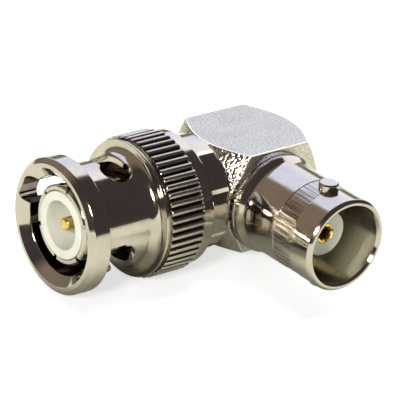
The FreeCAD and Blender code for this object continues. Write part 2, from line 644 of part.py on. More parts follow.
def nut_knurl(body):
    """Straight knurl: a valley with steep sides that ease off towards the ridges, repeated round."""
    floor = "Sizes.knurl_radius - Sizes.knurl_depth"
    foot = "Sizes.knurl_floor_width / 2"
    knee = ("Sizes.knurl_radius - Sizes.knurl_knee_depth", "Sizes.knurl_knee_width / 2")
    crest = "(Sizes.knurl_radius * sin(180 / Sizes.knurl_ridges) - Sizes.knurl_crest_width / 2)"
    clear = f"Sizes.knurl_radius + {OVERCUT}"
    valley = outline(new_sketch(body, "valley_section", "YZ_Plane", KNURL_FRONT), [
        (floor, f"-{foot}"), (floor, foot), knee, ("Sizes.knurl_radius", crest), (clear, crest),
        (clear, f"-{crest}"), ("Sizes.knurl_radius", f"-{crest}"), (knee[0], f"-{knee[1]}")])
    cut = pocket(body, "valley", valley, "Sizes.knurl_length")
    repeat_round(body, "knurl", [cut], "Sizes.knurl_ridges")


def nut_bore(body):
    """The nut's inside: coned mouth, bore for the jack barrel, spring chamber and ring groove."""
    mouth = f"{NUT_FRONT} + {OVERCUT}"
    end = f"{NUT_BACK} - {OVERCUT}"
    turn(body, "nut_bore", [
        (mouth, "0"), (mouth, "Sizes.nut_mouth_radius"), (NUT_FRONT, "Sizes.nut_mouth_radius"),
        (f"{NUT_FRONT} - Sizes.nut_mouth_depth", "Sizes.nut_bore_radius"),
        (CHAMBER_FRONT, "Sizes.nut_bore_radius"), (CHAMBER_FRONT, "Sizes.nut_chamber_radius"),
        (RING_GROOVE_FRONT, "Sizes.nut_chamber_radius"),
        (RING_GROOVE_FRONT, "Sizes.ring_groove_radius"),
        (RING_GROOVE_BACK, "Sizes.ring_groove_radius"),
        (RING_GROOVE_BACK, "Sizes.nut_chamber_radius"),
        (f"{NUT_BACK} + Sizes.nut_back_chamfer", "Sizes.nut_chamber_radius"),
        (NUT_BACK, "Sizes.nut_chamber_radius + Sizes.nut_back_chamfer"),
        (end, "Sizes.nut_chamber_radius + Sizes.nut_back_chamfer"), (end, "0")], cut=True)


def cam_hole(body, name, reach, angle, radius):
    """A round hole straight out through the nut's wall. The angle is counted from the piece's +Y."""
    circle = round_outline(
        new_sketch(body, f"{name}_circle", "XY_Plane", spin=f"{angle} - 90", spin_axis=(1, 0, 0)),
        reach, "0", radius)
    return pocket(body, name, circle, "Sizes.nut_shoulder_radius", forward=True)


def cam_section(body, name, reach, angle):
    """The track's section in the nut's wall, from inside the bore to outside the barrel."""
    half = "Sizes.cam_width / 2"
    inside = f"Sizes.nut_bore_radius - {OVERCUT}"
    outside = f"Sizes.nut_barrel_radius + {OVERCUT}"
    return outline(
        new_sketch(body, f"{name}_section", "XY_Plane", spin=str(angle), spin_axis=(1, 0, 0)), [
            (f"{reach} - {half}", inside), (f"{reach} + {half}", inside),
            (f"{reach} + {half}", outside), (f"{reach} - {half}", outside)])


def nut_cams(body):
    """The two bayonet tracks through the barrel's wall. Each has an entry channel from the mouth, a
    ramp of helix, a level stretch, and the wider end that a lug drops into."""
    half = "Sizes.entry_width / 2"
    inside = f"Sizes.nut_bore_radius - {OVERCUT}"
    shy = "(Sizes.entry_radius - Sizes.entry_corner)"
    narrow = f"({half} - Sizes.entry_corner)"
    entry = outline(
        new_sketch(body, "entry_section", "YZ_Plane", NUT_FRONT, "Sizes.entry_angle"), [
            (inside, f"-{half}"), (shy, f"-{half}", "Sizes.entry_corner", 1),
            ("Sizes.entry_radius", f"-{narrow}"), ("Sizes.entry_radius", narrow, "Sizes.entry_corner", 1),
            (shy, half), (inside, half)])
    channel = pocket(body, "entry_channel", entry, "Sizes.cam_start_depth")
    start = cam_hole(body, "cam_start", CAM_START, "Sizes.entry_angle", "Sizes.cam_start_radius")
    detent = cam_hole(body, "detent", DETENT, "Sizes.detent_angle", "Sizes.detent_radius")
    section = cam_section(body, "ramp", CAM_START, "Sizes.entry_angle")
    ramp = body.newObject("PartDesign::SubtractiveHelix", "cam_ramp")
    ramp.Profile = section
    ramp.ReferenceAxis = (section, ["H_Axis"])
    ramp.Mode = "height-turns-angle"
    ramp.setExpression("Height", "Sizes.cam_rise")
    ramp.setExpression("Turns", "Sizes.cam_ramp_sweep / 360")
    ramp.Angle = 0
    ramp.Reversed = True
    ramp.LeftHanded = False
    level = cam_section(body, "dwell", CAM_DWELL, CAM_DWELL_ANGLE)
    dwell = body.newObject("PartDesign::Groove", "cam_dwell")
    dwell.Profile = level
    dwell.ReferenceAxis = (level, ["H_Axis"])
    dwell.setExpression("Angle", "Sizes.cam_dwell_sweep")
    dwell.Reversed = True
    repeat_round(body, "both_cams", [channel, start, detent, ramp, dwell], 2)


def coupling_nut():
    body = new_body("coupling_nut", PLUG_TURN)
    nut_blank(body)
    nut_knurl(body)
    nut_bore(body)
    nut_cams(body)


def check(pieces):
    """Every object is sound, every feature changes its solid, and every piece is one solid."""
    for thing in doc.Objects:
        if {"Invalid", "Error"} & set(thing.State):
            raise RuntimeError(f"{thing.Label} failed: {thing.State}")
        base = getattr(thing, "BaseFeature", None)
        if base is not None and not thing.isDerivedFrom("PartDesign::Body"):
            if abs(thing.Shape.Volume - base.Shape.Volume) < 1e-5:
                raise RuntimeError(f"{thing.Label} changes nothing")
    for piece in pieces:
        if piece.Shape.isNull() or not piece.Shape.isValid() or len(piece.Shape.Solids) != 1:
            raise RuntimeError(f"{piece.Label} is not one valid solid")


def build():
    fill_sheet()
    for piece in (elbow_body, access_cap, cap_insulator, jack_shell, jack_insulator, jack_contact,
                  plug_sleeve, plug_outer_contact, plug_insulator, plug_pin, gasket, coupling_nut,
                  snap_ring, wave_spring):
        piece()
    ring("front_washer", PLUG_TURN, FRONT_WASHER_BACK, SLEEVE_FLANGE_BACK,
         STACK_BORE, "Sizes.washer_radius")
    ring("rear_washer", PLUG_TURN, RING_FRONT, REAR_WASHER_FRONT, STACK_BORE, "Sizes.washer_radius")
    doc.recompute()
    return [thing for thing in doc.Objects
            if thing.isDerivedFrom("PartDesign::Body") or thing.Name == "wave_spring"]


pieces = build()
check(pieces)
os.makedirs("parts", exist_ok=True)
for piece in pieces:
    piece.Shape.exportStep(f"parts/{piece.Label}.step")
    print(f"{piece.Label}: {piece.Shape.Volume:.2f} cubic mm")
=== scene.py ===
import json
import math

import bmesh
import bpy
import numpy as np
from mathutils import Matrix, Vector

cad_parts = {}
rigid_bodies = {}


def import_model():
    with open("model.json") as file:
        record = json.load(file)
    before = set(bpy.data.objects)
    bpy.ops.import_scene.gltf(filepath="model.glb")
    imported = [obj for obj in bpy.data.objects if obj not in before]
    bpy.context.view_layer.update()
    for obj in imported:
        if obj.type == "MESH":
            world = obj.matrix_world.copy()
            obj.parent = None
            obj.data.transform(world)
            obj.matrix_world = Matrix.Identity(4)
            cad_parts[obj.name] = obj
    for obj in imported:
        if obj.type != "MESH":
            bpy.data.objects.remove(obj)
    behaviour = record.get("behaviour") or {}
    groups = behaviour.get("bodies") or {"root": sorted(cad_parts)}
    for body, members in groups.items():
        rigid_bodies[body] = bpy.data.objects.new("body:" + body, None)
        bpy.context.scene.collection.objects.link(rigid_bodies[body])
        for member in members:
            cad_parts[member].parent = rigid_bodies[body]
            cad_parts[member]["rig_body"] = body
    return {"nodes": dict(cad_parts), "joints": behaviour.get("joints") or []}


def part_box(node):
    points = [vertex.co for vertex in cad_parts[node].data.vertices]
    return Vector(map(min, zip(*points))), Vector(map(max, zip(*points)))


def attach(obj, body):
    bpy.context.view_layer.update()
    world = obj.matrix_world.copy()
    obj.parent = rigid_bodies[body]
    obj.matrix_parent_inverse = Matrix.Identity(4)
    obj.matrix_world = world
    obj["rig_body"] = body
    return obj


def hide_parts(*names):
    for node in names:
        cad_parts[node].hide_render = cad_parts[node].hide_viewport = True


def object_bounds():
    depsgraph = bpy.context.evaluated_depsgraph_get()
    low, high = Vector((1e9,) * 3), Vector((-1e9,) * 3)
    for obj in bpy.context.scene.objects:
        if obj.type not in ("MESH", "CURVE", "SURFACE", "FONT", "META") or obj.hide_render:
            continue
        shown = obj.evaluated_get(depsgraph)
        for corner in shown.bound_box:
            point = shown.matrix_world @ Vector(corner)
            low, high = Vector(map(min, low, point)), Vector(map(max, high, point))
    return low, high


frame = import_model()
cad_low, cad_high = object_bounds()

# A right-angle bayonet coaxial adapter. Every piece is shaped in millimetres about its own X axis,
# measured from the point where the two legs' axes cross towards the open mouth, and is then turned
# onto its leg: the plug to -X, the jack to -Y.
MM = 0.001
MICRON = 0.001 * MM

# In millimetres: the arc on a corner that names none, how far the points that hold the shading lie
# from a stretch's ends, how far a cutter stands past what it cuts, how close to a surface counts as
# on it, and how close to the axis counts as on that.
EDGE = 0.05
HOLD = 0.06
OVERRUN = 0.5
NEAR = 0.01
ON_AXIS = 1e-6

# Points round a turned piece and round a small one, degrees between the points of an arc, the largest
# share of a side that an arc takes, the opening above which a corner counts as straight, and the
# angle up to which an edge is shaded smooth.
COLUMNS = 360
SMALL_COLUMNS = 72
ROUND_STEP = 15
ARC_SHARE = 0.45
STRAIGHT = math.radians(179)
SMOOTH_TO = math.radians(35)

CROSSING = Vector((0, next(j for j in frame["joints"] if j["name"] == "nut_turn")["pos_m"][1], 0))
TO_LEG = {
    "plug": Matrix.Translation(CROSSING) @ Matrix.Rotation(math.pi, 4, "Z") @ Matrix.Scale(MM, 4),
    "jack": Matrix.Translation(CROSSING) @ Matrix.Rotation(-math.pi / 2, 4, "Z") @ Matrix.Scale(MM, 4),
}


def span(node, leg):
    """Where a CAD node starts and ends along its leg, and how far it stands out, in millimetres."""
    back = TO_LEG[leg].inverted()
    low, high = (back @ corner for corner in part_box(node))
    return min(low.x, high.x), max(low.x, high.x), max(low.z, high.z)


NUT_BACK, NUT_FRONT, KNURL_RADIUS = span("coupling_nut", "plug")
BASKET_SEAT, BASKET_REACH, BASKET_TIP = span("plug_outer_contact", "plug")
SLEEVE_END, CUP_REACH, SLEEVE_BORE = span("plug_insulator", "plug")
PIN_TAIL, PIN_TIP, PIN_SHANK = span("plug_pin", "plug")
BLOCK_BACK, NECK_REACH, COLLAR = span("elbow_body", "plug")
CAP_BACK, CAP_SEAT, CAP_RADIUS = span("access_cap", "plug")
JACK_TAIL, JACK_MOUTH, LUG_TOP = span("jack_shell", "jack")
ROD_END, NOSE_REACH, CAVITY = span("jack_insulator", "jack")
SOCKET_TAIL, SOCKET_REACH, SOCKET = span("jack_contact", "jack")


# Shapes

def rounded(corners, edge=EDGE):
    """The corners (reach, radius) of a closed outline, each rounded by a small arc. A third number
    is the corner's own arc radius, 0 for a sharp one."""
    points = []
    for i, corner in enumerate(corners):
        here = np.array(corner[:2], float)
        before = np.array(corners[i - 1][:2]) - here
        after = np.array(corners[(i + 1) % len(corners)][:2]) - here
        room = ARC_SHARE * min(np.linalg.norm(before), np.linalg.norm(after))
        before /= np.linalg.norm(before)
        after /= np.linalg.norm(after)
        opening = math.acos(np.clip(before @ after, -1, 1))
        wanted = corner[2] if len(corner) > 2 else edge
        if wanted == 0 or opening > STRAIGHT:
            points.append(here)
            continue
        run = min(wanted / math.tan(opening / 2), room)
        radius = run * math.tan(opening / 2)
        middle = (before + after) / np.linalg.norm(before + after)
        centre = here + middle * radius / math.sin(opening / 2)
        start, end = here + before * run - centre, here + after * run - centre
        first = math.atan2(start[1], start[0])
        sweep = (math.atan2(end[1], end[0]) - first + math.pi) % (2 * math.pi) - math.pi
        steps = max(2, math.ceil(math.degrees(abs(sweep)) / ROUND_STEP))
        for k in range(steps + 1):
            angle = first + sweep * k / steps
            points.append(centre + radius * np.array([math.cos(angle), math.sin(angle)]))
    return np.array(points)


def held(outline):
    """The outline with a point close to each end of every long stretch, which keeps its shading even."""
    points = []
    for here, after in zip(outline, np.roll(outline, -1, axis=0)):
        points.append(here)
        length = np.linalg.norm(after - here)
        if length > 4 * HOLD and max(here[1], after[1]) > 0:
            way = (after - here) / length * HOLD
            points.extend((here + way, after - way))
    return np.array(points)


def arc(centre, radius, start, end, steps):
    """Sharp corners along an arc in the (reach, radius) plane. Angles are in degrees."""
    angles = np.radians(np.linspace(start, end, steps + 1))
    return [(centre[0] + radius * math.cos(a), centre[1] + radius * math.sin(a), 0) for a in angles]


def mesh_object(name, points, faces):
    """A mesh as an object in the scene, its faces turned outwards."""
    mesh = bpy.data.meshes.new(name)
    mesh.from_pydata(points, [], faces)
    work = bmesh.new()
    work.from_mesh(mesh)
    bmesh.ops.recalc_face_normals(work, faces=work.faces)
    work.to_mesh(mesh)
    work.free()
    piece = bpy.data.objects.new(name, mesh)
    bpy.context.scene.collection.objects.link(piece)
    return piece


def skin(name, reach, radius, angles):
    """A closed skin over rows of points round the X axis. Each row and column has its own reach
    and radius, and a row of no radius is one point on the axis."""
    points, faces, index = [], [], []
    for row_reach, row_radius in zip(reach, radius):
        first = len(points)
        if row_radius.max() < ON_AXIS:
            points.append((row_reach[0], 0, 0))
            index.append(np.full(len(angles), first))
            continue
        points.extend(zip(row_reach, row_radius * np.cos(angles), row_radius * np.sin(angles)))
        index.append(first + np.arange(len(angles)))
    for i, row in enumerate(index):
        ahead = index[(i + 1) % len(index)]
        for j in range(len(angles)):
            k = (j + 1) % len(angles)
            face = list(dict.fromkeys((row[j], row[k], ahead[k], ahead[j])))
            if len(face) > 2:
                faces.append(face)
    return mesh_object(name, points, faces)


def lathe(name, corners, columns=COLUMNS, edge=EDGE, shape=None):
    """Turn an outline round the X axis. shape(reach, radius, angles) may give each row's radius."""
    outline = held(rounded(corners, edge))
    angles = np.arange(columns) * 2 * math.pi / columns
    reach = np.repeat(outline[:, :1], columns, axis=1)
    radius = np.repeat(outline[:, 1:], columns, axis=1)
    if shape:
        radius = shape(reach, radius, angles)
    return skin(name, reach, radius, angles)


def block(name, low, high):
    """A box between two corners, for cutting with."""
    corners = [(x, y, z) for x in (low[0], high[0]) for y in (low[1], high[1]) for z in (low[2], high[2])]
    faces = [(0, 1, 3, 2), (4, 6, 7, 5), (0, 4, 5, 1), (2, 3, 7, 6), (0, 2, 6, 4), (1, 5, 7, 3)]
    return mesh_object(name, corners, faces)


def turned(piece, matrix):
    piece.data.transform(matrix)
    return piece


def combine(piece, others, operation):
    """Cut the others out of the piece, or join them to it."""
    for other in others:
        step = piece.modifiers.new(other.name, "BOOLEAN")
        step.operation = operation
        step.solver = "EXACT"
        step.object = other
    view = bpy.context.evaluated_depsgraph_get()
    view.update()
    made = bpy.data.meshes.new_from_object(piece.evaluated_get(view))
    piece.modifiers.clear()
    piece.data = made
    for other in others:
        bpy.data.objects.remove(other)


def dress(piece, leg, node, slot, *materials):
    """Turn a piece onto its leg, give it its materials, and let it stand in for its CAD node."""
    turned(piece, TO_LEG[leg])
    piece.data.materials.clear()
    for material in materials:
        piece.data.materials.append(material)
    piece.data.shade_smooth()
    piece.data.set_sharp_from_angle(angle=SMOOTH_TO)
    normals = piece.modifiers.new("even_normals", "WEIGHTED_NORMAL")
    normals.keep_sharp = True
    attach(piece, frame["nodes"][node]["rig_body"])
    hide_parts(node)


def paint(piece, leg, part_of):
    """Give each face the material whose number part_of(reach, radius) returns."""
    back = TO_LEG[leg].inverted()
    for face in piece.data.polygons:
        reach, right, up = back @ face.center
        face.material_index = part_of(reach, math.hypot(right, up))


# Materials

class Paper:
    """The node tree of a material or a world, with short calls to add to it."""

    def __init__(self, owner):
        self.owner = owner
        owner.use_nodes = True
        self.tree = owner.node_tree
        self.shader = self.tree.nodes.get("Principled BSDF")

    def node(self, kind, **settings):
        made = self.tree.nodes.new(kind)
        for key, value in settings.items():
            setattr(made, key, value)
        return made

    def join(self, source, target):
        self.tree.links.new(source, target)

    def math(self, operation, first, second=None):
        made = self.node("ShaderNodeMath", operation=operation)
        for socket, value in zip(made.inputs, (first, second)):
            if isinstance(value, bpy.types.NodeSocket):
                self.join(value, socket)
            elif value is not None:
                socket.default_value = value
        return made.outputs[0]

    def noise(self, vector, scale, detail=3.0, roughness=0.5):
        made = self.node("ShaderNodeTexNoise")
        made.inputs["Scale"].default_value = scale
        made.inputs["Detail"].default_value = detail
        made.inputs["Roughness"].default_value = roughness
        self.join(vector, made.inputs["Vector"])
        return made.outputs["Fac"]

    def ramp(self, value, stops):
        """Blend two colours over a value. Each stop is a place on it and the colour there."""
        made = self.node("ShaderNodeValToRGB")
        for element, (place, colour) in zip(made.color_ramp.elements, stops):
            element.position = place
            element.color = (*colour, 1)
        self.join(value, made.inputs["Fac"])
        return made.outputs["Color"]

    def spread(self, value, low, high):
        """Map 0.3 to 0.7 of a noise onto low to high."""
        made = self.node("ShaderNodeMapRange")
        made.inputs["From Min"].default_value = 0.3
        made.inputs["From Max"].default_value = 0.7
        made.inputs["To Min"].default_value = low
        made.inputs["To Max"].default_value = high
        self.join(value, made.inputs["Value"])
        return made.outputs["Result"]

    def bump(self, height, strength, microns, before=None):
        """Dents of a pattern's height, on top of those that another bump gave."""
        made = self.node("ShaderNodeBump")
        made.inputs["Strength"].default_value = strength
        made.inputs["Distance"].default_value = microns * MICRON
        self.join(height, made.inputs["Height"])
        if before:
            self.join(before, made.inputs["Normal"])
        return made.outputs["Normal"]

    def between(self, value, none, full):
        """0 up to one value and 1 from the other on, with a smooth step between."""
        made = self.node("ShaderNodeMapRange", interpolation_type="SMOOTHSTEP")
        flipped = none > full
        made.inputs["From Min"].default_value = min(none, full)
        made.inputs["From Max"].default_value = max(none, full)
        made.inputs["To Min"].default_value = float(flipped)
        made.inputs["To Max"].default_value = float(not flipped)
        self.join(value, made.inputs["Value"])
        return made.outputs["Result"]

    def mix(self, share, first, second):
        """Two colours, each a socket or three numbers. A mix node keeps its colours in the sockets
        after those for numbers and vectors."""
        made = self.node("ShaderNodeMix", data_type="RGBA")
        self.join(share, made.inputs["Factor"])
        for socket, colour in zip(made.inputs[6:8], (first, second)):
            if isinstance(colour, bpy.types.NodeSocket):
                self.join(colour, socket)
            else:
                socket.default_value = (*colour, 1)
        return made.outputs[2]

    def along(self, vector, way):
        """How far a vector reaches along a fixed direction."""
        made = self.node("ShaderNodeVectorMath", operation="DOT_PRODUCT")
        self.join(vector, made.inputs[0])
        made.inputs[1].default_value = way
        return made.outputs["Value"]

    def choose(self, share, first, second, output):
        """Send a mix of two shaders to the tree's output."""
        made = self.node("ShaderNodeMixShader")
        self.join(share, made.inputs[0])
        self.join(first, made.inputs[1])
        self.join(second, made.inputs[2])
        self.join(made.outputs[0], self.tree.nodes[output].inputs["Surface"])

    def coat(self, colour, roughness, normal, metallic=1.0):
        """Give the shader its colour, roughness, bumps and share of metal. Returns the material."""
        for name, source in (("Base Color", colour), ("Roughness", roughness), ("Normal", normal)):
            self.join(source, self.shader.inputs[name])
        self.shader.inputs["Metallic"].default_value = metallic
        return self.owner

    def place(self):
        return self.node("ShaderNodeTexCoord").outputs["Object"]

    def lathe_place(self, leg):
        """A place as (distance along the leg, distance from its axis), where turning marks lie."""
        parts = self.node("ShaderNodeSeparateXYZ")
        self.join(self.place(), parts.inputs[0])
        x, y, z = parts.outputs
        along, across = (x, self.math("SUBTRACT", y, CROSSING.y)) if leg == "plug" else (y, x)
        squares = self.math("ADD", self.math("MULTIPLY", across, across), self.math("MULTIPLY", z, z))
        made = self.node("ShaderNodeCombineXYZ")
        self.join(along, made.inputs[0])
        self.join(self.math("SQRT", squares), made.inputs[1])
        return made.outputs[0]


NICKEL = (0.62, 0.575, 0.52)
NICKEL_WORN = (0.56, 0.51, 0.45)
MATT_NICKEL = (0.86, 0.83, 0.75)
MATT_NICKEL_LOW = (0.5, 0.49, 0.45)
# The bar's chamfered edges are painted near white: a painted highlight along them.
EDGE_PAINTED_HIGHLIGHT = (0.93, 0.92, 0.86)
EDGE_PAINTED_HIGHLIGHT_LOW = (0.84, 0.83, 0.77)
# The knurl's valleys are painted nearly black: painted shade in them.
VALLEY_PAINTED_SHADE_DEEP = (0.03, 0.026, 0.024)
VALLEY_PAINTED_SHADE = (0.07, 0.06, 0.055)
# The jack's flange is painted darker than the nickel: painted shade, in place of the dark that the real
# flange mirrors. The lower tone also paints the milled band's dark stripes.
ROOT_PAINTED_SHADE = (0.42, 0.38, 0.34)
PAINTED_DARK_LOW = (0.3, 0.27, 0.24)
BORE_NICKEL = (0.72, 0.68, 0.58)
BORE_NICKEL_LOW = (0.62, 0.58, 0.49)
GOLD = (0.88, 0.66, 0.26)
GOLD_DEEP = (0.76, 0.52, 0.16)
WHITE = (0.82, 0.85, 0.82)
WHITE_LOW = (0.75, 0.78, 0.74)
STEEL = (0.55, 0.55, 0.54)
STEEL_LOW = (0.4, 0.4, 0.4)
RUBBER = (0.075, 0.028, 0.024)
RUBBER_LOW = (0.05, 0.018, 0.016)

# How fine each pattern is: about how many of its marks lie along one metre.
TURNING_MARKS = 9000
BLOTCHES = 380
GRAIN = 4500
CUTS = 3800
LINES = 4500
GOLD_BLOTCHES = 2000
PTFE_RINGS = 5000
PTFE_BLOTCHES = 600
RUBBER_GRAIN = 4000

# The depth of the machined surface's cuts in micrometres, and how much longer a milled line is than
# it is wide, as the share that the pattern is squashed to.
CUT_DEPTH = 120
LINE_STRETCH = 0.04


def polished(name, leg, shine=0.08):
    """Bright nickel on turned brass: faint turning marks, and a shine that varies from place to place."""
    paper = Paper(bpy.data.materials.new(name))
    marks = paper.noise(paper.lathe_place(leg), TURNING_MARKS, 2.0)
    blotches = paper.noise(paper.place(), BLOTCHES, 4.0, 0.6)
    dents = paper.bump(blotches, 0.25, 10)
    return paper.coat(paper.ramp(blotches, [(0.35, NICKEL_WORN), (0.6, NICKEL)]),
                      paper.spread(blotches, shine + 0.05, shine - 0.03),
                      paper.bump(marks, 0.1, 3, dents))


def matt_flat():
    """The drawn bar's own surface under the plate: fine grain, no mirror."""
    paper = Paper(bpy.data.materials.new("matt_nickel"))
    grain = paper.noise(paper.place(), GRAIN, 2.0, 0.6)
    blotches = paper.noise(paper.place(), BLOTCHES, 3.0)
    return paper.coat(paper.ramp(grain, [(0.3, MATT_NICKEL_LOW), (0.7, MATT_NICKEL)]),
                      paper.spread(blotches, 0.4, 0.5), paper.bump(grain, 0.6, 30))


def machined(name, leg, low=NICKEL_WORN, high=NICKEL):
    """Plated over a coarsely cut surface, which breaks what it mirrors into sparks. On the jack's flange its
    darker tones are painted shade.
    """
    paper = Paper(bpy.data.materials.new(name))
    cuts = paper.noise(paper.place(), CUTS, 1.0)
    marks = paper.noise(paper.lathe_place(leg), TURNING_MARKS, 2.0)
    dents = paper.bump(cuts, 1.0, CUT_DEPTH)
    return paper.coat(paper.ramp(cuts, [(0.35, low), (0.6, high)]), paper.spread(cuts, 0.08, 0.16),
                      paper.bump(marks, 0.3, 6, dents))


def milled(name, leg):
    """Bright nickel over fine lines that run along the jack's axis. The lines' darker colour is painted: it
    stands in for the dark stripes that the band's flats mirror, and their dents are the milling marks.
    """
    paper = Paper(bpy.data.materials.new(name))
    squash = paper.node("ShaderNodeVectorMath", operation="MULTIPLY")
    paper.join(paper.place(), squash.inputs[0])
    squash.inputs[1].default_value = (1, LINE_STRETCH, 1)
    lines = paper.noise(squash.outputs[0], LINES, 2.0, 0.6)
    marks = paper.noise(paper.lathe_place(leg), TURNING_MARKS, 2.0)
    dents = paper.bump(lines, 0.4, 10)
    return paper.coat(paper.ramp(lines, [(0.42, PAINTED_DARK_LOW), (0.56, NICKEL)]), paper.spread(lines, 0.2, 0.08),
                      paper.bump(marks, 0.1, 3, dents))


def satin(name, leg, low, high, metallic, shine=0.32):
    """Duller and only partly metal in look: the jack's bore, the bar's corners, painted near white as a
    highlight, and the knurl's valleys, painted nearly black as shade.
    """
    paper = Paper(bpy.data.materials.new(name))
    marks = paper.noise(paper.lathe_place(leg), TURNING_MARKS, 3.0, 0.6)
    return paper.coat(paper.ramp(marks, [(0.35, low), (0.65, high)]),
                      paper.spread(marks, shine, shine + 0.1), paper.bump(marks, 0.15, 3), metallic)


def gold_plate(leg):
    """Gold with faint turning marks."""
    paper = Paper(bpy.data.materials.new(f"gold_{leg}"))
    marks = paper.noise(paper.lathe_place(leg), TURNING_MARKS, 2.0)
    blotches = paper.noise(paper.place(), GOLD_BLOTCHES, 3.0)
    return paper.coat(paper.ramp(blotches, [(0.35, GOLD_DEEP), (0.65, GOLD)]),
                      paper.spread(blotches, 0.2, 0.3), paper.bump(marks, 0.2, 4))


def fluoropolymer(leg):
    """White turned insulator: waxy, with rings left by the tool."""
    paper = Paper(bpy.data.materials.new(f"ptfe_{leg}"))
    marks = paper.noise(paper.lathe_place(leg), PTFE_RINGS, 2.0)
    blotches = paper.noise(paper.place(), PTFE_BLOTCHES, 3.0)
    paper.shader.inputs["Subsurface Weight"].default_value = 0.25
    paper.shader.inputs["Subsurface Radius"].default_value = (1.0, 0.9, 0.8)
    paper.shader.inputs["Subsurface Scale"].default_value = 0.6 * MM
    return paper.coat(paper.ramp(blotches, [(0.3, WHITE_LOW), (0.65, WHITE)]),
                      paper.spread(blotches, 0.36, 0.46), paper.bump(marks, 0.3, 6), metallic=0.0)


def plain_metal(name, low, high, shine):
    """Unplated turned or rolled metal."""
    paper = Paper(bpy.data.materials.new(name))
    marks = paper.noise(paper.lathe_place("plug"), TURNING_MARKS, 2.0)
    return paper.coat(paper.ramp(marks, [(0.35, low), (0.65, high)]),
                      paper.spread(marks, shine, shine + 0.1), paper.bump(marks, 0.3, 5))


def silicone():
    """The gasket's soft rubber."""
    paper = Paper(bpy.data.materials.new("silicone"))
    grain = paper.noise(paper.place(), RUBBER_GRAIN, 2.0)
    return paper.coat(paper.ramp(grain, [(0.3, RUBBER_LOW), (0.7, RUBBER)]), paper.spread(grain, 0.5, 0.6),
                      paper.bump(grain, 0.3, 10), metallic=0.0)


# Elbow

HALF = 5.34
CONE_ANGLE = math.radians(39)
FRONT_CORNER = 2.82
REAR_CORNER = 4.47
BAR_CHAMFER = 0.12
NECK_RADIUS = 5.15
COLLAR_GROOVE = 0.54
COLLAR_CLEARANCE = 0.13
REAR_RIM = 5.0
SLEEVE_RADIUS = 4.5
CROSS_BORE = 3.0
JACK_TAIL_RADIUS = 4.0
CAP_BEVEL = 0.2
FLAT_STEPS = 24
CORNER_STEPS = 4

# A face is part of a flat when it lies this close to it, in millimetres, and this square to it. The
# cone starts CONE_CLEAR outside the neck.
ON_FLAT = 0.001
SQUARE_ON = 0.9999
CONE_CLEAR = 0.1


def bar_section():
    """The angles and radii of points round the square bar."""
    inner = HALF - BAR_CHAMFER
    points = []
    for quarter in range(4):
        turn = quarter * math.pi / 2
        side = [(HALF, t) for t in np.linspace(-inner, inner, FLAT_STEPS + 1)]
        corner = [(inner + BAR_CHAMFER * math.cos(a), inner + BAR_CHAMFER * math.sin(a))
                  for a in np.linspace(0, math.pi / 2, CORNER_STEPS + 1)[1:-1]]
        for u, v in side + corner:
            points.append((u * math.cos(turn) - v * math.sin(turn), u * math.sin(turn) + v * math.cos(turn)))
    points = np.array(points)
    return np.arctan2(points[:, 1], points[:, 0]), np.hypot(points[:, 0], points[:, 1])


def elbow(*looks):
    """Square bar turned conical at both ends: each column of the skin has its own stretch of flat."""
    angles, bar_radii = bar_section()
    corner_radius = HALF * math.sqrt(2)
    slope = math.tan(CONE_ANGLE)
    foot = FRONT_CORNER + slope * (corner_radius - NECK_RADIUS)
    collar_back = foot + COLLAR_GROOVE
    collar_front = NUT_BACK - COLLAR_CLEARANCE
    columns = []
    for bar_radius in bar_radii:
        rear = -(REAR_CORNER + slope * (corner_radius - bar_radius))
        front = FRONT_CORNER + slope * (corner_radius - bar_radius)
        columns.append(rounded([
            (BLOCK_BACK, CAP_RADIUS), (BLOCK_BACK, REAR_RIM), (rear, bar_radius, 0.1),
            (front, bar_radius, 0.1), (foot, NECK_RADIUS, 0.1),
            (collar_back, NECK_RADIUS), (collar_back, COLLAR, 0.12),
            (collar_front, COLLAR, 0.12), (collar_front, NECK_RADIUS),
            (NECK_REACH, NECK_RADIUS, 0.12), (NECK_REACH, SLEEVE_RADIUS),
            (SLEEVE_END, SLEEVE_RADIUS), (SLEEVE_END, CAVITY), (CAP_SEAT, CAVITY), (CAP_SEAT, CAP_RADIUS)]))
    columns = np.array(columns)
    piece = skin("elbow_block", columns[:, :, 0].T, columns[:, :, 1].T, angles)
    tall = 2 * HALF
    to_jack = Matrix.Rotation(math.pi / 2, 4, "Z")
    drills = []
    for name, start, radius in (("bore", 0, CROSS_BORE), ("seat", JACK_TAIL, JACK_TAIL_RADIUS)):
        drill = lathe(name, [(start, 0, 0), (start, radius, 0), (tall, radius, 0), (tall, 0, 0)])
        drills.append(turned(drill, to_jack))
    combine(piece, drills, "DIFFERENCE")
    dress(piece, "plug", "elbow_body", "nickel", *looks)
    polished_part, flat, edge, cone = range(4)
    for face in piece.data.polygons:
        place = (face.center - CROSSING) / MM
        off_flat = HALF - max(abs(place.y), abs(place.z))
        if off_flat < ON_FLAT and max(abs(face.normal.y), abs(face.normal.z)) > SQUARE_ON:
            face.material_index = flat
        # The chamfered edges take the painted highlight.
        elif 0 <= off_flat < BAR_CHAMFER:
            face.material_index = edge
        elif -place.x < foot and math.hypot(place.y, place.z) > NECK_RADIUS + CONE_CLEAR:
            face.material_index = cone
        else:
            face.material_index = polished_part


def access_cap(polish):
    """The disc pressed into the block's rear bore."""
    piece = lathe("rear_cap", [
        (CAP_SEAT, 0, 0), (CAP_SEAT, CAP_RADIUS), (CAP_BACK + CAP_BEVEL, CAP_RADIUS),
        (CAP_BACK, CAP_RADIUS - CAP_BEVEL), (CAP_BACK, 0, 0)])
    dress(piece, "plug", "access_cap", "nickel", polish)


# Jack

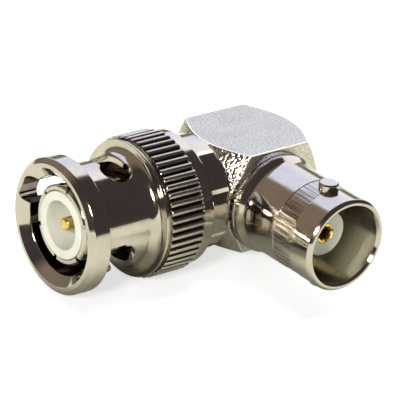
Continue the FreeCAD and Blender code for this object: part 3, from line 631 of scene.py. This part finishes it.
JACK_BARREL = 4.8
JACK_BORE = 4.07
JACK_BORE_DEPTH = 8.4
JACK_FLANGE = 5.2
JACK_FLANGE_LENGTH = 1.3
JACK_FLARE = 0.85
JACK_LINE_REACH = 0.86
LUG_SETBACK = 3.4
LUG_RADIUS = 1.02
BAND_BACK = 11.9
BAND_FRONT = 14.4
BAND_DEPTH = 0.05
BAND_FACETS = 120
NOSE_RADIUS = 2.35
NOSE_GAP = 0.05
WEB_THICKNESS = 0.95
LEAD_IN = 0.2
JACK_FLANGE_BEVEL = 0.12
JACK_LINE_DEPTH = 0.12
JACK_LINE_HALF = 0.09
LUG_BEVEL = 0.14

# Where the lugs start, inside the barrel's wall. It also tells the barrel's outside from its bore.
LUG_FOOT = JACK_BORE + 0.3

# How much the milled band's flats tilt, and two numbers that only make the tilts uneven.
BAND_TILT = 0.1
TILT_RATE = 7.3
TILT_POWER = 1.3

# How far below the barrel the band's own material starts.
BAND_SKIN = 0.003

# The jack's rim from the barrel to the mouth: how far behind the mouth and below the barrel each
# corner lies, and its arc.
JACK_RIM = ((0.31, 0, 0.15), (0.04, 0.2, 0.1), (0, 0.3, EDGE))


def jack_shell(*looks):
    """One turned piece: tail, flange with a line round it, flare, milled band, rim, bore and two lugs."""
    mouth = JACK_MOUTH
    flange_end = HALF + JACK_FLANGE_LENGTH
    line = HALF + JACK_LINE_REACH
    lug = mouth - LUG_SETBACK
    band = (BAND_BACK, BAND_FRONT)
    floor = mouth - JACK_BORE_DEPTH
    web = NOSE_RADIUS + NOSE_GAP

    def faceted(reach, radius, angles):
        """The milled band: narrow flats all round, a little below the barrel and not quite even."""
        step = 2 * math.pi / BAND_FACETS
        from_middle = (angles + step / 2) % step - step / 2
        tilt = BAND_TILT * np.sin(TILT_RATE * np.round(angles / step) ** TILT_POWER)
        flats = (JACK_BARREL - BAND_DEPTH) * (1 / np.cos(from_middle) + tilt * from_middle)
        inside = (reach > band[0] - NEAR) & (reach < band[1] + NEAR) & (radius < JACK_BARREL - 2 * NEAR)
        return np.where(inside & (radius > LUG_FOOT), flats[None, :], radius)

    piece = lathe("jack_barrel", [
        (JACK_TAIL, CAVITY), (JACK_TAIL, JACK_TAIL_RADIUS), (HALF, JACK_TAIL_RADIUS),
        (HALF, JACK_FLANGE - JACK_FLANGE_BEVEL), (HALF + JACK_FLANGE_BEVEL, JACK_FLANGE),
        (line - JACK_LINE_HALF, JACK_FLANGE, 0.03), (line, JACK_FLANGE - JACK_LINE_DEPTH, 0.03),
        (line + JACK_LINE_HALF, JACK_FLANGE, 0.03),
        (flange_end, JACK_FLANGE, 0.15), (flange_end + JACK_FLARE, JACK_BARREL, 1.0),
        (band[0], JACK_BARREL, 0.02), (band[0], JACK_BARREL - BAND_DEPTH, 0.02),
        (band[1], JACK_BARREL - BAND_DEPTH, 0.02), (band[1], JACK_BARREL, 0.02),
        *((mouth - back, JACK_BARREL - drop, edge) for back, drop, edge in JACK_RIM),
        (mouth, JACK_BORE + LEAD_IN), (mouth - 1.5 * LEAD_IN, JACK_BORE), (floor, JACK_BORE), (floor, web),
        (floor - WEB_THICKNESS, web), (floor - WEB_THICKNESS, CAVITY)], shape=faceted)
    lugs = []
    for side in (1, -1):
        made = lathe("lug", [
            (LUG_FOOT, 0, 0), (LUG_FOOT, LUG_RADIUS, 0), (LUG_TOP - LUG_BEVEL, LUG_RADIUS),
            (LUG_TOP, LUG_RADIUS - LUG_BEVEL), (LUG_TOP, 0, 0)], columns=SMALL_COLUMNS)
        stand = Matrix.Translation((lug, 0, 0)) @ Matrix.Rotation(-side * math.pi / 2, 4, "Y")
        lugs.append(turned(made, stand))
    combine(piece, lugs, "UNION")
    dress(piece, "jack", "jack_shell", "nickel", *looks)

    def part_of(reach, radius):
        polished_part, root, bore, lined = range(4)
        if radius < JACK_BORE + NEAR and floor - NEAR < reach < mouth - LEAD_IN:
            return bore
        # The band's faces take the painted stripes.
        if band[0] < reach < band[1] and 2 * BAND_DEPTH > JACK_BARREL - radius > BAND_SKIN:
            return lined
        # The flange takes the painted shade.
        return root if HALF < reach < flange_end and radius > JACK_TAIL_RADIUS + NEAR else polished_part

    paint(piece, "jack", part_of)
    # The milled flats stay flat in the shading. The bore behind them is smooth.
    for face in piece.data.polygons:
        reach = CROSSING.y / MM - face.center.y / MM
        radius = math.hypot(face.center.x, face.center.z) / MM
        if band[0] < reach < band[1] and radius < JACK_BARREL - NEAR / 2:
            face.use_smooth = radius < LUG_FOOT


def jack_insulator(white):
    """The white rod, with the nose that stands in the jack's bore."""
    shell_web = JACK_MOUTH - JACK_BORE_DEPTH - WEB_THICKNESS
    piece = lathe("jack_insulator_rod", [
        (ROD_END, SOCKET), (NOSE_REACH, SOCKET), (NOSE_REACH, NOSE_RADIUS, 0.12),
        (shell_web, NOSE_RADIUS), (shell_web, CAVITY), (ROD_END, CAVITY)], columns=180)
    dress(piece, "jack", "jack_insulator", "ptfe", white)


SOCKET_BORE = 0.685
SOCKET_DEPTH = 5.6
SOCKET_SLOT = 0.25
SOCKET_SLOT_LENGTH = 4.6
SOCKET_SLOT_ANGLE = 13
SOCKET_SHANK_END = 3.0
SOCKET_TAIL_RADIUS = 0.8
SOCKET_LEAD_IN = 0.14
PIN_TAIL_RADIUS = 0.5


def slots(count, angle, width, radius, back, front):
    """Bars that cut evenly spaced slots across a tube. Each bar cuts two opposite ones."""
    bars = []
    for k in range(count // 2):
        bar = block(f"slot_{k}", (back, -radius, -width / 2), (front, radius, width / 2))
        bars.append(turned(bar, Matrix.Rotation(math.radians(angle) + k * 2 * math.pi / count, 4, "X")))
    return bars


def jack_contact(gold):
    """The gold socket: slots at its mouth, and a hole across its tail for the plug pin's."""
    floor = SOCKET_REACH - SOCKET_DEPTH
    piece = lathe("jack_socket", [
        (SOCKET_TAIL, 0, 0), (SOCKET_TAIL, SOCKET_TAIL_RADIUS), (SOCKET_SHANK_END, SOCKET_TAIL_RADIUS),
        (SOCKET_SHANK_END, SOCKET), (SOCKET_REACH, SOCKET, 0.06),
        (SOCKET_REACH, SOCKET_BORE + SOCKET_LEAD_IN), (SOCKET_REACH - SOCKET_LEAD_IN, SOCKET_BORE),
        (floor, SOCKET_BORE), (floor - SOCKET_BORE, 0, 0)], columns=120)
    cuts = slots(4, SOCKET_SLOT_ANGLE, SOCKET_SLOT, SOCKET + OVERRUN,
                 SOCKET_REACH - SOCKET_SLOT_LENGTH, SOCKET_REACH + OVERRUN)
    tall = SOCKET_TAIL_RADIUS + OVERRUN
    hole = lathe("tail_hole", [(-tall, 0, 0), (-tall, PIN_TAIL_RADIUS, 0), (tall, PIN_TAIL_RADIUS, 0),
                               (tall, 0, 0)], columns=SMALL_COLUMNS)
    cuts.append(turned(hole, Matrix.Rotation(math.pi / 2, 4, "Z")))
    combine(piece, cuts, "DIFFERENCE")
    dress(piece, "jack", "jack_contact", "gold", gold)


# Plug

BASKET_RADIUS = 3.95
BASKET_TIP_LENGTH = 0.9
BASKET_TIP_BEVEL = 0.18
BASKET_TIP_RAMP = 0.54
BASKET_SLOT = 0.42
BASKET_SLOT_LENGTH = 6.2
BASKET_SLOTS = 6
BASKET_SLOT_ANGLE = 20
CUP_RADIUS = 3.42
CUP_RECESS = 2.45
CUP_DEPTH = 4.6
GASKET_SEAT = BASKET_SEAT + 2.5
PIN_RADIUS = 0.675
PIN_SHANK_BACK = 3.6


def outer_contact(polish):
    """The slotted tube round the plug's white cup, with a swell at its tip."""
    swell = BASKET_REACH - BASKET_TIP_LENGTH
    piece = lathe("spring_fingers", [
        (BASKET_SEAT, SLEEVE_BORE), (BASKET_REACH, SLEEVE_BORE),
        (BASKET_REACH, BASKET_TIP - BASKET_TIP_BEVEL), (BASKET_REACH - BASKET_TIP_BEVEL, BASKET_TIP),
        (swell, BASKET_TIP, 0.3), (swell - BASKET_TIP_RAMP, BASKET_RADIUS, 0.3),
        (BASKET_SEAT, BASKET_RADIUS)], columns=240)
    cuts = slots(BASKET_SLOTS, BASKET_SLOT_ANGLE, BASKET_SLOT, BASKET_TIP + OVERRUN,
                 BASKET_REACH - BASKET_SLOT_LENGTH, BASKET_REACH + OVERRUN)
    combine(piece, cuts, "DIFFERENCE")
    dress(piece, "plug", "plug_outer_contact", "nickel", polish)


def plug_insulator(white):
    """The white rod, hollowed to a cup round the pin."""
    floor = CUP_REACH - CUP_DEPTH
    piece = lathe("plug_cup", [
        (SLEEVE_END, PIN_SHANK), (floor, PIN_SHANK), (floor, CUP_RECESS, 0.8), (CUP_REACH, CUP_RECESS, 0.15),
        (CUP_REACH, CUP_RADIUS, 0.12), (GASKET_SEAT, CUP_RADIUS), (GASKET_SEAT, SLEEVE_BORE),
        (SLEEVE_END, SLEEVE_BORE)], columns=240)
    dress(piece, "plug", "plug_insulator", "ptfe", white)


def plug_pin(gold):
    """The gold centre pin, with the thinner tail that joins the socket's."""
    floor = CUP_REACH - CUP_DEPTH
    piece = lathe("centre_pin", [
        (PIN_TAIL, 0, 0), (PIN_TAIL, PIN_TAIL_RADIUS), (PIN_SHANK_BACK, PIN_TAIL_RADIUS),
        (PIN_SHANK_BACK, PIN_SHANK), (floor, PIN_SHANK), (floor, PIN_RADIUS, 0.02),
        (PIN_TIP, PIN_RADIUS, 0.5), (PIN_TIP, 0, 0)], columns=SMALL_COLUMNS)
    dress(piece, "plug", "plug_pin", "gold", gold)


# Coupling nut

NUT_FLANGE = 6.84
NUT_FLANGE_THICKNESS = 2.14
NUT_FLANGE_BEVEL = (0.44, 0.5)
NUT_MOUTH = 5.95
NUT_MOUTH_DEPTH = 0.82
NUT_BARREL = 5.55
NUT_BORE = 4.97
NUT_CHAMBER = 5.75
CHAMBER_SETBACK = 0.6
CHAMBER_LEAD_IN = 0.15
SHOULDER_DEPTH = 8.72
SHOULDER_RADIUS = 6.95
SHOULDER_WIDTH = 0.25
FLARE_RADIUS = 1.05
GROOVE_WIDTH = 0.35
GROOVE_RADIUS = 6.6
KNURL_LENGTH = 3.89
KNURL_DEPTH = 0.45
KNURL_RIDGES = 52
KNURL_COLUMNS = 9
KNURL_VALLEY = 0.13
KNURL_ROUNDNESS = 1.6
TAIL_RADIUS = 6.84
TAIL_BEVEL = 0.28
RING_GROOVE_RADIUS = 6.08
RING_GROOVE_LIP = 1.26
RING_GROOVE_WIDTH = 0.82
ENTRY_ANGLE = 156
ENTRY_WIDTH = 3.4
ENTRY_RADIUS = 5.85
ENTRY_CORNER = 0.8
CAM_START_DEPTH = 4.97
CAM_RISE = 1.5
CAM_RAMP_SWEEP = 46
CAM_DWELL_SWEEP = 32
CAM_WIDTH = 2.3
START_HOLE = 1.4
DETENT_ANGLE = 75
DETENT_HOLE = 1.55
DETENT_SHIFT = 0.25
HOLE_CHAMFER = 0.08
HOLE_COLUMNS = 96

# Where the cutters for the nut's wall start and the track's end, as distances from the nut's axis.
WALL_START = NUT_BORE - 0.6
TRACK_TOP = NUT_BARREL + 0.3


def ridged(reach, radius, angles):
    """Straight knurl: narrow valleys between rounded ridges."""
    shoulder = NUT_FRONT - SHOULDER_DEPTH
    front = shoulder - SHOULDER_WIDTH - GROOVE_WIDTH
    pitch = 2 * math.pi / KNURL_RIDGES
    share = np.abs((angles % pitch) / pitch * 2 - 1)
    valley = KNURL_RADIUS - KNURL_DEPTH * (1 - np.sqrt(np.clip(1 - share ** KNURL_ROUNDNESS, 0, 1)))
    inside = (reach < front + NEAR) & (reach > front - KNURL_LENGTH - NEAR) & (radius > GROOVE_RADIUS)
    return np.where(inside, np.minimum(radius, valley[None, :]), radius)


def wall_hole(name, reach, angle, radius):
    """A cutter for a round hole through the nut's wall, flared where it meets the barrel."""
    angles = np.arange(HOLE_COLUMNS) * 2 * math.pi / HOLE_COLUMNS

    def surface(distance):
        """How high the barrel's surface lies at this distance from the hole's axis."""
        return np.sqrt(NUT_BARREL ** 2 - (distance * np.sin(angles)) ** 2)

    start = np.full(HOLE_COLUMNS, WALL_START)
    wide = radius + HOLE_CHAMFER
    rows = [(start, 0), (start, radius), (surface(radius) - HOLE_CHAMFER, radius), (surface(wide), wide),
            (surface(wide) + OVERRUN, wide + 0.05), (surface(wide) + OVERRUN, 0)]
    heights = np.array([height for height, distance in rows])
    radii = np.array([np.full(HOLE_COLUMNS, distance) for height, distance in rows])
    heights[-1] = heights[-1].max()
    cutter = skin(name, heights, radii, angles)
    stand = (Matrix.Rotation(math.radians(angle), 4, "X") @ Matrix.Translation((reach, 0, 0))
             @ Matrix.Rotation(math.pi / 2, 4, "Z"))
    return turned(cutter, stand)


def track_cutter(name, turn):
    """The track through the barrel's wall: a ramp of helix, then a level stretch."""
    start = NUT_FRONT - CAM_START_DEPTH
    half = CAM_WIDTH / 2
    wide = half + HOLE_CHAMFER
    section = [(-half, WALL_START), (half, WALL_START), (half, NUT_BARREL - HOLE_CHAMFER),
               (wide, NUT_BARREL), (wide, TRACK_TOP), (-wide, TRACK_TOP), (-wide, NUT_BARREL),
               (-half, NUT_BARREL - HOLE_CHAMFER)]
    around = len(section)
    points, faces = [], []
    for k in range(CAM_RAMP_SWEEP + CAM_DWELL_SWEEP + 1):
        angle = math.radians(ENTRY_ANGLE + turn - k)
        middle = start - CAM_RISE * min(k / CAM_RAMP_SWEEP, 1)
        points.extend((middle + along, radius * math.cos(angle), radius * math.sin(angle))
                      for along, radius in section)
        if k:
            base = around * k
            faces.extend((base - around + i, base - around + (i + 1) % around,
                          base + (i + 1) % around, base + i) for i in range(around))
    faces.append(tuple(range(around)))
    faces.append(tuple(len(points) - 1 - i for i in range(around)))
    return mesh_object(name, points, faces)


def entry_cutter(name, turn):
    """The channel by which a lug comes in from the mouth: a rounded rectangle in section."""
    half = ENTRY_WIDTH / 2
    corners = rounded([(NUT_BORE - 1, -half, 0), (ENTRY_RADIUS, -half, ENTRY_CORNER),
                       (ENTRY_RADIUS, half, ENTRY_CORNER), (NUT_BORE - 1, half, 0)])
    count = len(corners)
    ends = (NUT_FRONT - CAM_START_DEPTH, NUT_FRONT + OVERRUN)
    points = [(reach, y, z) for reach in ends for y, z in corners]
    faces = [(i, (i + 1) % count, count + (i + 1) % count, count + i) for i in range(count)]
    faces.append(tuple(range(count)))
    faces.append(tuple(2 * count - 1 - i for i in range(count)))
    made = mesh_object(name, points, faces)
    return turned(made, Matrix.Rotation(math.radians(ENTRY_ANGLE + turn), 4, "X"))


def coupling_nut(*looks):
    """The bayonet nut, turned in one outline, with both tracks and their holes cut through it."""
    front = NUT_FRONT
    flange = front - NUT_FLANGE_THICKNESS
    shoulder = front - SHOULDER_DEPTH
    groove = shoulder - SHOULDER_WIDTH
    knurl = groove - GROOVE_WIDTH
    knurl_end = knurl - KNURL_LENGTH
    chamber = shoulder - CHAMBER_SETBACK
    ring_back = NUT_BACK + RING_GROOVE_LIP
    ring_front = ring_back + RING_GROOVE_WIDTH
    flare = arc((shoulder + FLARE_RADIUS, NUT_BARREL + FLARE_RADIUS), FLARE_RADIUS, -90, -180, 20)
    bevel_length, bevel_depth = NUT_FLANGE_BEVEL
    piece = lathe("bayonet_nut", [
        (front, NUT_FLANGE - bevel_depth), (front - bevel_length, NUT_FLANGE, 0.15),
        (flange, NUT_FLANGE, 0.1),
        (flange, NUT_BARREL, 0.06), *flare, (shoulder, SHOULDER_RADIUS, 0.06),
        (groove, SHOULDER_RADIUS, 0.06), (groove, GROOVE_RADIUS, 0.05), (knurl, GROOVE_RADIUS, 0.05),
        (knurl, KNURL_RADIUS, 0.14), (knurl_end, KNURL_RADIUS, 0.14), (knurl_end, TAIL_RADIUS, 0.04),
        (NUT_BACK + TAIL_BEVEL, TAIL_RADIUS, 0.1), (NUT_BACK, TAIL_RADIUS - TAIL_BEVEL),
        (NUT_BACK, NUT_CHAMBER + CHAMBER_LEAD_IN), (NUT_BACK + CHAMBER_LEAD_IN, NUT_CHAMBER),
        (ring_back, NUT_CHAMBER), (ring_back, RING_GROOVE_RADIUS),
        (ring_front, RING_GROOVE_RADIUS), (ring_front, NUT_CHAMBER), (chamber, NUT_CHAMBER),
        (chamber, NUT_BORE), (front - NUT_MOUTH_DEPTH, NUT_BORE, 0.15), (front, NUT_MOUTH)],
        columns=KNURL_RIDGES * KNURL_COLUMNS, shape=ridged)
    start = front - CAM_START_DEPTH
    cuts = []
    for turn in (0, 180):
        cuts.append(entry_cutter(f"entry_{turn}", turn))
        cuts.append(track_cutter(f"track_{turn}", turn))
        cuts.append(wall_hole(f"start_{turn}", start, ENTRY_ANGLE + turn, START_HOLE))
        cuts.append(wall_hole(f"detent_{turn}", start - CAM_RISE + DETENT_SHIFT, DETENT_ANGLE + turn,
                              DETENT_HOLE))
    combine(piece, cuts, "DIFFERENCE")
    dress(piece, "plug", "coupling_nut", "nickel", *looks)

    def part_of(reach, radius):
        polished_part, ridge, valley = range(3)
        if not (knurl_end + 0.1 < reach < knurl - 0.1 and radius > GROOVE_RADIUS):
            return polished_part
        # Valley faces take the painted shade.
        return valley if radius < KNURL_RADIUS - KNURL_VALLEY else ridge

    paint(piece, "plug", part_of)


# Pieces that keep their CAD shape and only get a material

def inner_pieces():
    spring = plain_metal("spring_steel", STEEL_LOW, STEEL, shine=0.25)
    plated = polished("nickel_inner", "plug", shine=0.2)
    white = fluoropolymer("plug")
    rubber = silicone()
    looks = {"plug_sleeve": plated, "gasket": rubber, "cap_insulator": white, "wave_spring": spring,
             "front_washer": spring, "rear_washer": spring, "snap_ring": spring}
    for node, material in looks.items():
        materials = frame["nodes"][node].data.materials
        materials.clear()
        materials.append(material)


# Stage, light and camera

FLOOR_SIZE = 4.0
TABLE_TONE = (0.5, 0.52, 0.48)
SHADOW_TONE = (0.56, 0.58, 0.66)
FLOOR_GLOW = 0.66

# The room as the metal shows it. Colours are linear, and the window is given by the way to its
# middle and by where its sides lie, as tangents from that way.
ROOM_DARK = (0.066, 0.054, 0.056)
ROOM_BROWN = (0.3, 0.235, 0.18)
ROOM_HORIZON = (0.22, 0.23, 0.17)
WINDOW_AZIMUTH = math.radians(40)
WINDOW_ELEVATION = math.radians(35)
WINDOW_SIDES = (-0.75, 0.8)
WINDOW_FOOT = -0.4
WINDOW_TOP = 0.42
WINDOW_SOFTNESS = 0.03
WINDOW_LEFT_TONE = (1.06, 1.14, 1.45)
WINDOW_RIGHT_TONE = (1.36, 1.4, 1.52)
WINDOW_BLEND = (-0.15, 0.25)

# How far back a way has to point for the room to turn from dark to brown, and how little up for the
# horizon's tone: the two ends of a smooth step.
BEHIND = (0.1, 0.5)
HORIZON = (0.2, 0.1)


def light_path(paper, name):
    return paper.node("ShaderNodeLightPath").outputs[name]


def table():
    """A pale table. It shows as white behind the object, and in the metal as a warm pale tone."""
    half = FLOOR_SIZE / 2
    level = cad_low.z
    stage = mesh_object("floor", [(-half, -half, level), (half, -half, level), (half, half, level),
                                  (-half, half, level)], [(0, 1, 2, 3)])
    paper = Paper(bpy.data.materials.new("floor"))
    diffuse = paper.node("ShaderNodeBsdfDiffuse")
    diffuse.inputs["Color"].default_value = (*TABLE_TONE, 1)
    glow = paper.node("ShaderNodeEmission")
    glow.inputs["Color"].default_value = (1, 1, 1, 1)
    glow.inputs["Strength"].default_value = FLOOR_GLOW
    shaded = paper.node("ShaderNodeBsdfDiffuse")
    shaded.inputs["Color"].default_value = (*SHADOW_TONE, 1)
    both = paper.node("ShaderNodeAddShader")
    paper.join(shaded.outputs[0], both.inputs[0])
    paper.join(glow.outputs[0], both.inputs[1])
    paper.choose(light_path(paper, "Is Camera Ray"), diffuse.outputs[0], both.outputs[0], "Material Output")
    stage.data.materials.append(paper.owner)


def studio():
    """The room: dark in front, brown behind to the left, and one large window behind to the right."""
    world = bpy.data.worlds.new("studio")
    bpy.context.scene.world = world
    paper = Paper(world)
    way = paper.node("ShaderNodeTexCoord").outputs["Generated"]
    parts = paper.node("ShaderNodeSeparateXYZ")
    paper.join(way, parts.inputs[0])
    behind = paper.between(parts.outputs[1], *BEHIND)
    room = paper.mix(behind, ROOM_DARK, ROOM_BROWN)
    low = paper.math("MULTIPLY", paper.between(parts.outputs[2], *HORIZON), behind)
    room = paper.mix(low, room, ROOM_HORIZON)

    level, slant = math.cos(WINDOW_ELEVATION), math.sin(WINDOW_ELEVATION)
    across, ahead = math.sin(WINDOW_AZIMUTH), math.cos(WINDOW_AZIMUTH)
    depth = paper.along(way, (across * level, ahead * level, slant))
    side = paper.math("DIVIDE", paper.along(way, (ahead, -across, 0)), depth)
    height = paper.math("DIVIDE", paper.along(way, (-across * slant, -ahead * slant, level)), depth)
    soft = WINDOW_SOFTNESS
    # The first keeps the window out of the other half of the room, the rest are its four sides.
    edges = [(depth, 0, 0.1), (side, WINDOW_SIDES[0] - soft, WINDOW_SIDES[0] + soft),
             (side, WINDOW_SIDES[1] + soft, WINDOW_SIDES[1] - soft),
             (height, WINDOW_FOOT - 2 * soft, WINDOW_FOOT + 2 * soft),
             (height, WINDOW_TOP + soft, WINDOW_TOP - soft)]
    inside = None
    for value, none, full in edges:
        edge = paper.between(value, none, full)
        inside = paper.math("MULTIPLY", inside, edge) if inside else edge
    glass = paper.mix(paper.between(side, *WINDOW_BLEND), WINDOW_LEFT_TONE, WINDOW_RIGHT_TONE)
    shown = paper.mix(inside, room, glass)

    lit = paper.tree.nodes["Background"]
    paper.join(shown, lit.inputs["Color"])
    white = paper.node("ShaderNodeBackground")
    white.inputs["Color"].default_value = (1, 1, 1, 1)
    paper.choose(light_path(paper, "Is Camera Ray"), lit.outputs[0], white.outputs[0], "World Output")


LAMPS = {
    # name: (place in metres, size in metres, power in watts, seen in the metal)
    "key": ((-0.27, -0.16, 0.16), 0.07, 0.9, True),
    "top": ((0.1, 0.1, 0.4), 0.3, 3.6, False),
}
LAMP_TONE = (1.0, 0.96, 0.84)


def lamps():
    """Soft lamps that light the table and the white pieces."""
    for name, (place, size, power, seen) in LAMPS.items():
        data = bpy.data.lights.new(name, "AREA")
        data.size = size
        data.energy = power
        data.color = LAMP_TONE
        lamp = bpy.data.objects.new(name, data)
        bpy.context.scene.collection.objects.link(lamp)
        lamp.location = place
        lamp.rotation_euler = (CROSSING - Vector(place)).to_track_quat("-Z", "Y").to_euler()
        lamp.visible_glossy = seen


# The photograph's view: where the camera looks from, its roll, its distance from the crossing of the
# two axes, and how far that crossing lies from the middle of the picture.
CAMERA_AZIMUTH = math.radians(-39.607)
CAMERA_ELEVATION = math.radians(25.377)
CAMERA_ROLL = math.radians(4.604)
CAMERA_DISTANCE = 276.632 * MM
CROSSING_RIGHT = 3.624 * MM
CROSSING_UP = 2.103 * MM
PICTURE_WIDTH = 400
FOCAL_PIXELS = 2732.932
SENSOR_WIDTH = 36
NEAREST = 0.01
FARTHEST = 10


def camera():
    """The camera in the place, at the angle and with the lens that were fitted to the photograph."""
    level = math.cos(CAMERA_ELEVATION)
    back = Vector((math.sin(CAMERA_AZIMUTH) * level, -math.cos(CAMERA_AZIMUTH) * level,
                   math.sin(CAMERA_ELEVATION)))
    flat_right = Vector((0, 0, 1)).cross(back).normalized()
    flat_up = back.cross(flat_right)
    right = flat_right * math.cos(CAMERA_ROLL) + flat_up * math.sin(CAMERA_ROLL)
    up = back.cross(right)
    data = bpy.data.cameras.new("camera")
    data.sensor_width = SENSOR_WIDTH
    data.lens = FOCAL_PIXELS / PICTURE_WIDTH * SENSOR_WIDTH
    data.clip_start = NEAREST
    data.clip_end = FARTHEST
    eye = bpy.data.objects.new("camera", data)
    bpy.context.scene.collection.objects.link(eye)
    place = CROSSING + back * CAMERA_DISTANCE - right * CROSSING_RIGHT - up * CROSSING_UP
    turn = Matrix((right, up, back)).transposed().to_4x4()
    eye.matrix_world = Matrix.Translation(place) @ turn
    bpy.context.scene.camera = eye


def build():
    plug_polish = polished("nickel_plug", "plug")
    jack_polish = polished("nickel_jack", "jack")
    plug_gold, jack_gold = gold_plate("plug"), gold_plate("jack")
    plug_white, jack_white = fluoropolymer("plug"), fluoropolymer("jack")
    elbow(plug_polish, matt_flat(), satin("nickel_edges_painted_highlight", "plug", EDGE_PAINTED_HIGHLIGHT_LOW, EDGE_PAINTED_HIGHLIGHT, metallic=0.3),
          machined("nickel_machined", "plug"))
    access_cap(plug_polish)
    jack_shell(jack_polish, machined("nickel_root_painted_shade", "jack", PAINTED_DARK_LOW, ROOT_PAINTED_SHADE),
               satin("nickel_bore", "jack", BORE_NICKEL_LOW, BORE_NICKEL, metallic=0.95, shine=0.1),
               milled("nickel_band_painted_stripes", "jack"))
    jack_insulator(jack_white)
    jack_contact(jack_gold)
    outer_contact(plug_polish)
    plug_insulator(plug_white)
    plug_pin(plug_gold)
    coupling_nut(plug_polish, polished("nickel_knurl", "plug", shine=0.24),
                 satin("knurl_valleys_painted_shade", "plug", VALLEY_PAINTED_SHADE_DEEP, VALLEY_PAINTED_SHADE, metallic=0.9))
    inner_pieces()
    table()
    studio()
    lamps()
    camera()
    bpy.context.scene.view_settings.view_transform = "Standard"


build()
